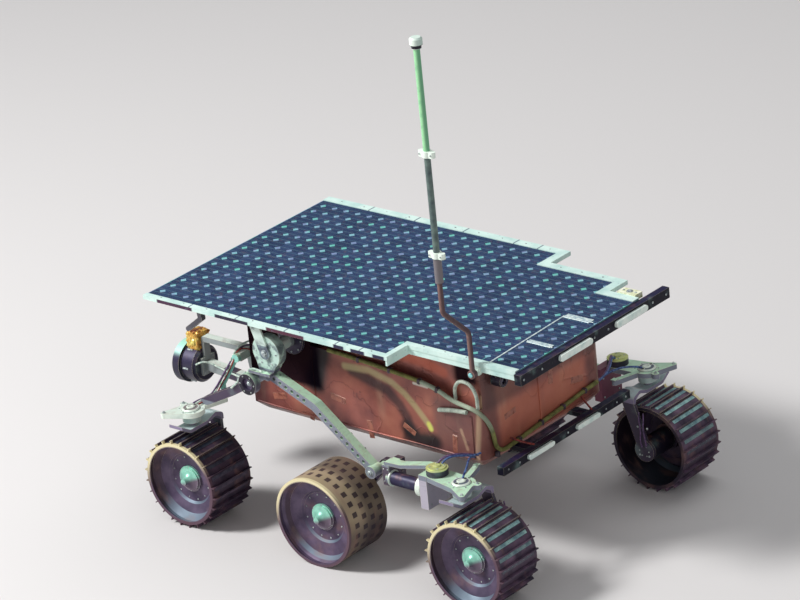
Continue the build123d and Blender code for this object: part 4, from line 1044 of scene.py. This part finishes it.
# %% Silver strips that carry current over the front cells
STRIPS = [
    # x, y of the start, x, y of the end, width, height of its middle
    ((263.3, 20.0), (268.3, -143.5), 2.4, 317.5), ((265.3, 18.0), (311.8, 20.4), 1.6, 317.5),
    ((269.5, -66.8), (312.8, -69.0), 1.6, 317.5), ((264.5, 21.5), (307.5, 21.5), 12.0, 317.65),
    ((271.0, -67.0), (311.0, -67.0), 8.5, 317.65),
]
STRIP_THICK = 0.7
strips = Making("current_strips")
for (x0, y0), (x1, y1), width, height in STRIPS:
    strips.block(((x0 + x1) / 2, (y0 + y1) / 2, height), (hypot(x1 - x0, y1 - y0), width, STRIP_THICK),
                 degrees(atan2(y1 - y0, x1 - x0)), bevel=0.2)
strips.done(silver_strip, "white_paint", "root")

# %% [markdown]
# ## Cleats and their feet
# The real wheels have thin steel cleats. Each stands on a bent foot that is spot-welded to the
# drum, and the row of welds shows as dots. The CAD model has the cleats, so the feet and welds are
# added beside them here, in one mesh for each wheel that turns with the wheel. Faces of the feet
# that look up get a painted sky reflection, and the rear wheels' feet get painted shade, so they
# are duller.

# %% Feet of the cleats
CLEATS, DRUM_RADIUS = 24, 60.5
FOOT_THICK, FOOT_LENGTH, FOOT_WIDTH = 0.6, 66.0, 5.2
FOOT_FROM_CLEAT, FOOT_RISE, WELD_RISE = 0.6, 0.25, 0.25
WELDS, WELD_PITCH, WELD_RADIUS = 8, 8.0, 1.1


def foot_finish(name, duller, paler):
    look = Finish(name, metallic=0.3)
    patches = look.noise(90, 5)
    look.colour = look.steps(patches, (0.35, (52, 44, 64)), (0.65, (88, 72, 92)))
    # painted reflection: faces that look up in the room get a sky reflection in two shades
    look.paint(look.steps(patches, (0.35, duller), (0.65, paler)), look.ease(look.skyward(), -0.1, 0.75))
    look.bump(look.noise(1500, 3), 0.03, 0.5)
    look.roughness(patches, 0.35, 0.6)
    return look.done()


def cleat_feet(wheel_name, middle, finish):
    feet = Making("cleat_feet_" + wheel_name)
    weld = [(WELD_RADIUS, 0), (WELD_RADIUS * 0.7, 0.35), (0, 0.35)]
    for cleat in range(CLEATS):
        angle = 2 * pi * cleat / CLEATS + (FOOT_WIDTH / 2 + FOOT_FROM_CLEAT) / DRUM_RADIUS
        out = Vector((cos(angle), 0, sin(angle)))
        spot = middle / MM + out * (DRUM_RADIUS + FOOT_RISE)
        feet.block(spot, (FOOT_THICK, FOOT_LENGTH, FOOT_WIDTH), -degrees(angle), "Y", bevel=0.2)
        for i in range(WELDS):
            along = (i - (WELDS - 1) / 2) * WELD_PITCH
            feet.turned(weld, spot + Vector((0, along, 0)) + out * WELD_RISE, out, sides=6)
    feet.done(finish, "wheel_metal", "wheel_body_" + wheel_name)


# painted reflection: pale on the other wheels' feet; the rear wheels' feet get painted shade, so theirs is
# darker
bright_feet = foot_finish("bright_feet", (112, 150, 160), (172, 216, 210))
shaded_feet = foot_finish("shaded_feet", (44, 46, 66), (76, 86, 100))
for wheel_name, (middle, side, outer_y) in wheels.items():
    if wheel_name != SMOOTH_WHEEL:
        cleat_feet(wheel_name, middle, shaded_feet if wheel_name.startswith("rear") else bright_feet)

# %% Screws and rivets on the wheels' dishes
DISH_SCREWS = [
    # how many, on which radius, distance from the rover's middle, head radius
    (6, 17.7, 221.0, 0.95), (12, 31.5, 218.0, 1.1),
]
for wheel_name, (middle, side, outer_y) in wheels.items():
    hub_screws = Making("hub_screws_" + wheel_name)
    for count, circle, out, radius in DISH_SCREWS:
        centre = (middle.x / MM, side * out, middle.z / MM)
        hub_screws.screws(ring(centre, "Y", count, circle, pi / count), (0, side, 0), radius)
    hub_screws.done(steel, "hub_metal", "wheel_body_" + wheel_name)

# %% [markdown]
# ## Housings, lids and their screws
# Each steering housing has a round lid with two holes for its wrench, and screws hold it to the end
# plate. On a bright plate the dark holes and screw heads are what make it look like a machine. They
# are placed from the CAD sizes, so they sit on the metal and never float.

# %% Screws on plates and motors
PLATE_TOP, HOUSING_TOP, MOTOR_LID_TOP = 164.0, 166.5, 175.5
MOTOR_X, MOTOR_Y = 205.0, 196.5
plate_screws, lid_holes, lid_rings = (Making(name) for name in ("plate_screws", "lid_holes", "lid_rings"))
for steer_x, ahead in ((STEER_X["front"], 1), (STEER_X["rear"], -1)):
    for side in BOTH:
        y = side * WHEEL_Y
        plate_screws.screws(ring((steer_x, y, PLATE_TOP), "Z", 6, 16.4, pi / 6), UP, 1.3)
        plate_screws.nut((steer_x + ahead * 24, y + side * 29, PLATE_TOP), UP, 1.7)
        plate_screws.nut((steer_x + ahead * 21, y - side * 8, PLATE_TOP), UP, 1.6)
        lid_rings.turned([(6.2, -0.2), (6.2, 0.9), (5.6, 1.3), (3.2, 1.3), (2.8, 0.5), (0, 0.5)],
                         (steer_x, y, HOUSING_TOP), UP, sides=20)
        for along in (-9.0, 9.0):
            hole = (steer_x, y + along, HOUSING_TOP)
            # each wrench hole is shown by a thin disc painted near black, as painted shade
            lid_holes.turned([(2.3, -0.1), (2.2, 0.12), (0, 0.12)], hole, UP, sides=14)
            lid_rings.turned([(3.1, -0.1), (2.9, 0.35), (2.35, 0.35), (2.3, 0.0)], hole, UP, sides=14)
plate_screws.done(steel, "bare_aluminium", "root")
lid_holes.done(hole_shade, "camera_dark", "root")
lid_rings.done(bright_metal, "bare_aluminium", "root")

motor_screws, motor_caps = Making("steering_motor_screws"), Making("steering_motor_caps")
for side in BOTH:
    lid_middle = (MOTOR_X, side * MOTOR_Y, MOTOR_LID_TOP)
    motor_screws.screws(ring(lid_middle, "Z", 4, 9.6, pi / 4), UP, 1.2)
    motor_caps.turned([(5.2, -0.2), (5.2, 1.2), (4.4, 1.8), (0, 1.8)], lid_middle, UP, sides=20)
motor_screws.done(steel, "motor_housing", "root")
motor_caps.done(lid_finish, "motor_housing", "root")

# %% Screws on yokes and drive motors
STEERED = ["front_right", "front_left", "rear_right", "rear_left"]
YOKE_FACE, AXLE_HEIGHT = 153.0, 64.5
for wheel_name in STEERED:
    middle, side, _ = wheels[wheel_name]
    axle_x, y = middle.x / MM, side * YOKE_FACE
    yoke_screws = Making("yoke_screws_" + wheel_name)
    yoke_screws.screws([(axle_x + x, y, z) for x in (-8, 8) for z in (100, 58)], (0, -side, 0), 1.6)
    yoke_screws.screws(ring((axle_x, y, AXLE_HEIGHT), "Y", 6, 8.0), (0, -side, 0), 1.1)
    yoke_screws.done(steel, "bare_aluminium", "steered_" + wheel_name)

# %% Screws and nuts on rockers and bogies
SCREW_CIRCLES = [
    # centre, how many, on which radius, head radius: main boss, rear boss, flange on the box
    ((-93, 184, 270), 6, 18, 1.5), ((-125, 195, 220), 6, 12.4, 1.1), ((-93, 134, 270), 8, 18.5, 1.4),
]
NUTS = [(-93, 187.3, 270, 4.0), (-108, 187.3, 305, 2.0), (-125, 190, 220, 3.2), (78, 188.3, 132, 3.4)]
joint_screws = Making("joint_screws")
for side in BOTH:
    for (x, y, z), count, circle, radius in SCREW_CIRCLES:
        joint_screws.screws(ring((x, side * y, z), "Y", count, circle), (0, side, 0), radius)
    for x, y, z, radius in NUTS:
        joint_screws.nut((x, side * y, z), (0, side, 0), radius)
    joint_screws.screws([(13, side * 150, AXLE_HEIGHT)], (0, -side, 0), 4.0)
    joint_screws.screws([(x, side * 184, z) for x in (98.5, 105.5) for z in (123, 141)], (0, side, 0), 1.1)
    joint_screws.screws([(197, side * y, z) for y in (172, 205) for z in (121, 149)], FORWARD, 1.3)
    joint_screws.screws([(x, side * 100, 236) for x in (-178, -170)], UP, 1.3)
joint_screws.done(steel, "bare_aluminium", "root")

# %% Clamp rings on the bogies' tubes
TUBE_Y, TUBE_Z, TUBE_FROM, TUBE_TO, CLAMP_X = 177, 127, 108, 183.5, 161
clamps = Making("clamp_bolts")
for side in BOTH:
    y = side * TUBE_Y
    clamps.block((CLAMP_X, y, 143.2), (6.0, 9.0, 5.0), bevel=0.8, segments=2)
    clamps.screws([(CLAMP_X, side * 181.5, 143.8)], (0, side, 0), 1.5)
    clamps.turned([(12.2, -1.0), (12.2, 1.0), (10.0, 1.6), (9.4, 1.6)], (TUBE_TO, y, TUBE_Z), BACKWARD,
                  sides=24)
    clamps.turned([(11.6, -0.2), (11.6, 1.4), (9.8, 2.2), (9.4, 2.2)], (TUBE_FROM, y, TUBE_Z), FORWARD,
                  sides=24)
clamps.done(bright_metal, "bare_aluminium", "root")

# %% [markdown]
# ## Wires
# Thin wires run from the box to every motor and sensor. Each is a curve object with a round bevel:
# a few points are enough, because a NURBS curve bends smoothly between them, as a wire does. Small
# ties hold them to the metal. They are thin, but in the photo they make the busy look of the corners.

# %% Wire runs
def wires(name, runs, radius, finish, body):
    """One curve object with a spline for each run; a run is a list of points in millimetres."""
    data = bpy.data.curves.new(name, "CURVE")
    data.dimensions = "3D"
    data.bevel_depth = radius * MM
    data.bevel_resolution = 2
    data.resolution_u = 5
    data.use_fill_caps = True
    for run in runs:
        spline = data.splines.new("NURBS")
        spline.points.add(len(run) - 1)
        for target, point in zip(spline.points, run):
            target.co = (*mm(*point), 1.0)
        spline.order_u = 3
        spline.use_endpoint_u = True
    print(name, len(runs), "runs")
    return add_piece(name, data, finish, body)


def both_sides(runs):
    """Each run, and the same run on the other side of the rover."""
    return runs + [[(x, -y, z) for x, y, z in run] for run in runs]


wires("beam_wires", both_sides([
    [(-96, -168.6, 262), (-97, -168.4, 240), (-60, -168.4, 222), (-17, -168.4, 206), (30, -168.4, 170),
     (70, -168.4, 139)],
    [(-90, -168.6, 258), (-92, -168.2, 236), (-56, -168.2, 219), (-17, -168.2, 203), (28, -168.2, 166),
     (66, -168.4, 138)],
]), 1.5, purple_wire, "root")
wires("rear_pale_wires", both_sides([
    [(-175, -118, 246), (-182, -128, 246), (-187, -144, 240), (-188, -155.5, 228), (-204, -155.5, 204),
     (-217, -156, 184), (-222, -164, 170), (-229, -182, 168.5), (-231, -191, 166.6)],
    [(-133, -186, 233), (-142, -189, 226), (-150, -187, 214), (-164, -186, 203)],
    [(-99, -190, 242.8), (-112, -190, 246), (-128, -188, 238), (-134, -184, 226)],
]), 1.4, pale_wire, "root")
wires("rear_dark_wires", both_sides([
    [(-175, -122, 240), (-184, -132, 242), (-189, -146, 234), (-190, -158, 222), (-206, -158, 200),
     (-219, -158, 182), (-225, -166, 170), (-233, -184, 168.5), (-235, -192, 166.6)],
]) + [
    [(-175, -112, 262), (-186, -104, 254), (-192, -100, 236), (-190, -98, 214), (-184, -94, 190),
     (-178, -92, 176)],
], 1.3, purple_wire, "root")
wires("rear_red_wires", both_sides([
    [(-175, -125, 232), (-181, -134, 240), (-184, -148, 238), (-184, -154.8, 226), (-201, -154.8, 201),
     (-214, -155, 183), (-219, -163, 168), (-225, -180, 167.5), (-226, -190, 166.6)],
]), 1.1, red_wire, "root")
wires("front_blue_wires", both_sides([
    [(224, -129, 170), (226, -140, 172), (222, -158, 178), (214, -172, 182), (208, -184, 180),
     (207, -188, 175.4)],
    [(214, -130, 162), (222, -146, 172), (232, -164, 176), (242, -180, 174), (246, -192, 169),
     (247, -196, 166.4)],
]), 1.5, blue_wire, "root")
wires("front_dark_wires", both_sides([
    [(220, -130, 166), (225, -143, 174), (219, -160, 181), (210, -176, 184), (203, -186, 180),
     (201, -190, 175.4)],
    [(66, -168.4, 138), (84, -166, 128), (96, -164, 122), (118, -165.5, 121), (150, -166, 120),
     (183.5, -167.5, 122)],
]), 1.4, purple_wire, "root")
wires("deck_wires", [
    [(-120, -110, 311.6), (-90, -104, 309), (-20, -98, 309.5), (60, -100, 308.5), (150, -96, 309),
     (216, -92, 306), (226, -84, 290), (228, -80, 286)],
    [(-240, 60, 311.6), (-200, 66, 309), (-120, 60, 309.5), (-40, 66, 308.5), (0, 60, 300), (4, 58, 287.6)],
    [(250, 104, 311.6), (236, 96, 307), (222, 80, 300), (214, 60, 292), (210, 50, 287.6)],
], 1.6, pale_wire, "root")
wires("bar_wires", both_sides([
    [(317.5, -60, 303), (308, -62, 308), (300, -66, 310), (286, -70, 311.6)],
    [(262, -62, 163), (246, -70, 166), (232, -76, 172)],
]), 1.4, red_wire, "root")

# %% Wires down the yokes to the drive motors
YOKE_RUNS = [
    # x from the axle, y, z
    [(-4, 152.6, 122), (-5, 151.4, 112), (-2, 151.2, 96), (-5, 151.4, 78), (-3, 152.6, 70)],
    [(3, 152.6, 122), (4, 151.4, 112), (1, 151.3, 98), (5, 151.4, 80), (4, 152.6, 72)],
]
for wheel_name in STEERED:
    middle, side, _ = wheels[wheel_name]
    runs = [[(middle.x / MM + x, side * y, z) for x, y, z in run] for run in YOKE_RUNS]
    wires("yoke_wire_" + wheel_name, runs, 1.1, purple_wire, "steered_" + wheel_name)

# %% Ties on the beams
BEAM_TIES = [(-57, 220.6), (-17, 204.5), (8, 186.0), (30, 168.2), (52, 151.5)]
TIE_Y, BEAM_SLOPE = 168.2, 38
ties = Making("wire_ties")
for side in BOTH:
    for x, z in BEAM_TIES:
        ties.block((x, side * TIE_Y, z), (3.0, 4.2, 8.5), BEAM_SLOPE, "Y", bevel=0.6)
ties.done(tie_dark, "cable_jacket", "root")

# %% [markdown]
# ## Clips, tapes and folds on the box
# The edge cable lies on the box's sloping edge. Small clips hold it, and strips of amber tape hold
# the film down. The tapes are thin but real, with bevelled edges, so they throw a hair of shadow.
# The edge of each sheet of film is folded over, and that fold is a low rounded ridge.

# %% Cable clips
SIDE_CLIPS = [
    # x and z of the cable, and its slope there in degrees
    (28.0, 265.5, 4), (82.0, 261.2, 6), (133.0, 256.5, 8), (163.0, 250.5, 18),
]
FRONT_CLIPS = [(-107.0, 161.5), (-60.0, 163.5), (-12.0, 168.0), (36.0, 171.5), (84.0, 175.5)]
CABLE_Y, CABLE_X = -133.3, 234.3  # along the right side, and across the front
clips = Making("cable_clips")
for x, z, slope in SIDE_CLIPS:
    clips.block((x, CABLE_Y, z), (5.0, 7.4, 7.6), slope, "Y", bevel=1.2, segments=2)
for y, z in FRONT_CLIPS:
    clips.block((CABLE_X, y, z), (7.4, 5.0, 7.6), bevel=1.2, segments=2)
clips.done(tie_dark, "cable_jacket", "root")

# %% Tapes on the film
THIN = 0.5
RIGHT, LEFT, FRONT, REAR = -130.1, 130.1, 231.1, -175.1  # just outside the faces of the box
TAPES = [
    # middle, size, turn in degrees about the axis in which the tape is thin
    ((-20, RIGHT, 196), (26, THIN, 9), 8), ((34, RIGHT, 162), (9, THIN, 26), -6),
    ((104, RIGHT, 178), (22, THIN, 8), 28), ((182, RIGHT, 172), (8, THIN, 30), 5),
    ((-128, RIGHT, 176), (24, THIN, 9), -12), ((-70, RIGHT, 164), (8, THIN, 24), 10),
    ((-60, LEFT, 190), (26, THIN, 9), 6), ((40, LEFT, 168), (9, THIN, 26), -8),
    ((120, LEFT, 200), (24, THIN, 8), 20), ((-130, LEFT, 180), (24, THIN, 9), -10),
    ((FRONT, -70, 205), (THIN, 24, 8), 6), ((FRONT, 20, 225), (THIN, 9, 26), -8),
    ((FRONT, 74, 196), (THIN, 26, 9), -12), ((REAR, -60, 200), (THIN, 26, 9), 8),
    ((REAR, 40, 236), (THIN, 9, 26), 5), ((REAR, 84, 184), (THIN, 24, 8), -14),
]
tapes = Making("film_tapes")
for middle, size, turn in TAPES:
    tapes.block(middle, size, turn, "XYZ"[size.index(THIN)], bevel=0.15)
tapes.done(amber_tape, "copper_film", "root")

# %% Folded film edges
wires("film_folds", both_sides([
    [(-170, -130.2, 160), (-120, -130.4, 158), (-40, -130.2, 160), (40, -130.4, 159), (120, -130.2, 160),
     (205, -130.3, 159)],
    [(214, -130.2, 160), (214.5, -130.4, 190), (215, -130.3, 222)],
    [(-60, -130.2, 262), (-62, -130.4, 230), (-60, -130.2, 200), (-64, -130.3, 166)],
]) + [
    [(231.2, -110, 162), (231.4, -50, 160), (231.2, 30, 162), (231.3, 110, 161)],
    [(231.2, -8, 162), (231.4, -6, 210), (231.2, -9, 262)],
    [(-175.2, -112, 162), (-175.4, -40, 160), (-175.2, 40, 162), (-175.3, 112, 161)],
    [(-175.2, 6, 162), (-175.4, 4, 220), (-175.2, 6, 284)],
], 1.3, copper_film, "root")

# %% [markdown]
# ## The crinkled foil on the sensor
# The block on top of the sensor head is wrapped in gold foil that was scrunched by hand. The CAD
# model has only its block, so a crinkled mesh replaces it. A fine grid is pushed in and out by
# ridged noise, always inward from the block's faces, and sharp edges leave it its flat facets.

# %% Gold
look = Finish("gold_foil_finish", metallic=0.45, specular=0.6)
patches = look.noise(70, 5)
gold_pale = (238, 226, 128)
look.colour = look.steps(patches, (0.32, (132, 58, 40)), (0.5, (236, 176, 84)), (0.7, gold_pale))
look.paint(gold_pale, look.ease(look.faces("X"), 0.1, -0.5), 0.35)
look.bump(look.crumple(320), 0.5, 0.6)
look.bump(look.noise(900, 3), 0.08, 0.5)
look.roughness(patches, 0.22, 0.42)
gold_foil = look.done()


# %% Crinkled foil
def ridged(point, shift):
    """Noise with sharp valleys, as creases have, that is never above 1."""
    return 1.0 - abs(noise.noise(point + Vector((shift, shift, shift)))) * 2.0


FOIL_CUTS = 14
foil_low, foil_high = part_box("sensor_foil")
foil_middle, foil_half = (foil_low + foil_high) / 2, (foil_high - foil_low) / 2
foil = Making("crinkled_foil")
bmesh.ops.create_cube(foil.mesh, size=2.0)
bmesh.ops.subdivide_edges(foil.mesh, edges=foil.mesh.edges[:], cuts=FOIL_CUTS, use_grid_fill=True)
for vert in foil.mesh.verts:
    point = vert.co.lerp(vert.co.normalized() * 1.35, 0.22)
    crinkle = ridged(point * 2.2, 11.0) * 0.12 + ridged(point * 5.0, 3.0) * 0.06
    point *= 0.97 - crinkle
    vert.co = foil_middle + Vector(p * h for p, h in zip(point, foil_half))
foil_piece = foil.done(gold_foil, "gold_foil", "sensor", sharp=12)
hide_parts("sensor_foil")

# %% [markdown]
# ## Sensor head and cameras
# The sensor looks out of a round stepped window, and screws and bolts stand in circles round it. Two
# cameras look ahead from under the deck. A lens is a glass dome set deep in a dark ring, and what
# makes it look like glass is a very smooth clear coat over a nearly black, bluish body.

# %% Details of the sensor head
HEAD_Y, HEAD_Z = -90.0, 171.0
head_bits = Making("sensor_head_bits")
head_bits.screws(ring((-338.5, HEAD_Y, HEAD_Z), "X", 8, 27, pi / 8), BACKWARD, 1.3)
for foot in ring((-321, HEAD_Y, HEAD_Z), "X", 6, 27.2):
    head_bits.turned([(1.4, -0.3), (1.4, 9.0), (1.0, 9.4), (0, 9.4)], foot, FORWARD, sides=8)
head_bits.screws([(-296.5, HEAD_Y + y, HEAD_Z + z) for y in (-10, 10) for z in (-10, 10)], FORWARD, 1.4)
head_bits.done(steel, "sensor_dark", "sensor")
window = Making("sensor_window")
window.turned([(22.6, -0.2), (22.6, 0.8), (21.6, 1.6), (18.0, 1.6), (17.4, 0.4), (11.5, 0.4), (11.0, 1.5),
               (9.2, 1.5), (8.8, 0.3), (0, 0.3)], (-326.4, HEAD_Y, HEAD_Z), BACKWARD, sides=32)
window.done(sensor_dark, "sensor_dark", "sensor")
wires("sensor_wires", [
    [(-308, -90, 198.5), (-302, -84, 206), (-288, -83.5, 210), (-262, -83.6, 209), (-236, -83.4, 209),
     (-216, -83.4, 206)],
    [(-300.8, -112, 178), (-292, -110, 184), (-284, -100, 180), (-270, -97.2, 174), (-240, -97.2, 169),
     (-216, -97.2, 166)],
], 1.4, pale_wire, "sensor")

# %% Camera lenses
look = Finish("lens_glass", coat=1.0, specular=0.6)
swirls = look.noise(300, 2)
look.colour = look.steps(swirls, (0.4, (10, 12, 26)), (0.6, (38, 34, 76)))
look.bump(look.noise(40, 1), 0.02, 0.3)
look.roughness(swirls, 0.04, 0.1)
lens_glass = look.done()

CAMERA_Y, CAMERA_Z = 95, 266
HOOD_MIDDLE, LENS_BOTTOM, HOOD_FRONT = 239.0, 243.0, 246.8
lenses, lens_rings = Making("camera_lenses"), Making("camera_rings")
for side in BOTH:
    y = side * CAMERA_Y
    lenses.turned([(4.3, -0.5), (4.0, 0.4), (3.2, 1.2), (2.0, 1.8), (0.9, 2.05), (0, 2.1)],
                  (LENS_BOTTOM, y, CAMERA_Z), FORWARD, sides=24)
    lens_rings.turned([(8.2, -0.3), (8.2, 0.6), (7.6, 1.2), (5.4, 1.2), (4.6, 0.4), (4.5, -1.0)],
                      (HOOD_FRONT, y, CAMERA_Z), FORWARD, sides=28)
    for point in ring((HOOD_MIDDLE, y, CAMERA_Z), "X", 4, 9.0, pi / 4):
        lens_rings.screws([point], (0, point[1] - y, point[2] - CAMERA_Z), 0.9)
lenses.done(lens_glass, "camera_dark", "root")
lens_rings.done(dark_steel, "camera_dark", "root")

# %% [markdown]
# ## Last screws
# The deck's edge strips, the bars, the belly and the mast's collars are screwed on as well. Rows of
# small heads at an even pitch tell the eye how large the rover is.

# %% Small sensor on the deck's corner
SENSOR_Y, SENSOR_TOP = 121.2, 320.0
corner_bits = Making("corner_sensor_bits")
corner_bits.screws([(x, SENSOR_Y, SENSOR_TOP) for x in (286, 306)], UP, 1.6)
corner_bits.turned([(4.6, -0.3), (4.6, 0.8), (3.9, 1.3), (0, 1.3)], (296, SENSOR_Y, SENSOR_TOP), UP, sides=18)
corner_bits.done(steel, "camera_dark", "root")

# %% Screws on the deck, bars and belly
BORDER_TOP, BELLY_BOTTOM = 318.2, 143.0
BAR_FRONT, BAR_Z, BUMPER_FRONT, BUMPER_Z = 328.0, 307.5, 269.0, 156.0
BORDER_ROWS = [
    # y, first x, end of the row, pitch
    (-192.2, -271, 139, 42), (189.8, -271, 139, 42), (-148.2, 160, 256, 36), (145.8, 160, 256, 36),
]
deck_screws = Making("deck_screws")
for y, first, end, pitch in BORDER_ROWS:
    deck_screws.screws([(x, y, BORDER_TOP) for x in range(first, end, pitch)], UP, 1.2)
deck_screws.screws([(BAR_FRONT, y, BAR_Z) for y in (-150, -112, 0, 30, 128, 158)], FORWARD, 1.6)
deck_screws.screws([(BUMPER_FRONT, y, BUMPER_Z) for y in (-128, -104, 0, 84, 108, 128)], FORWARD, 1.4)
deck_screws.screws([(x, y, BELLY_BOTTOM) for x in (-142, -60, 28, 116, 198) for y in (-68, 68)], DOWN, 2.0)
deck_screws.done(steel, "bare_aluminium", "root")

# %% Pieces on the mast
MAST_FACE, HINGE = -212.9, (252, -166.2, 304)
mast_bits = Making("mast_bits")
mast_bits.screws([(x, MAST_FACE, z) for z in (490, 629) for x in (243, 261)], RIGHTWARD, 1.3)
mast_bits.done(steel, "mast_grey", "mast")
hinge_pin = Making("mast_hinge_pin")
hinge_pin.turned([(3.4, -0.2), (3.4, 0.9), (2.4, 1.7), (0, 1.9)], HINGE, RIGHTWARD, sides=16)
hinge_pin.done(pin_cyan, "hub_metal", "root")
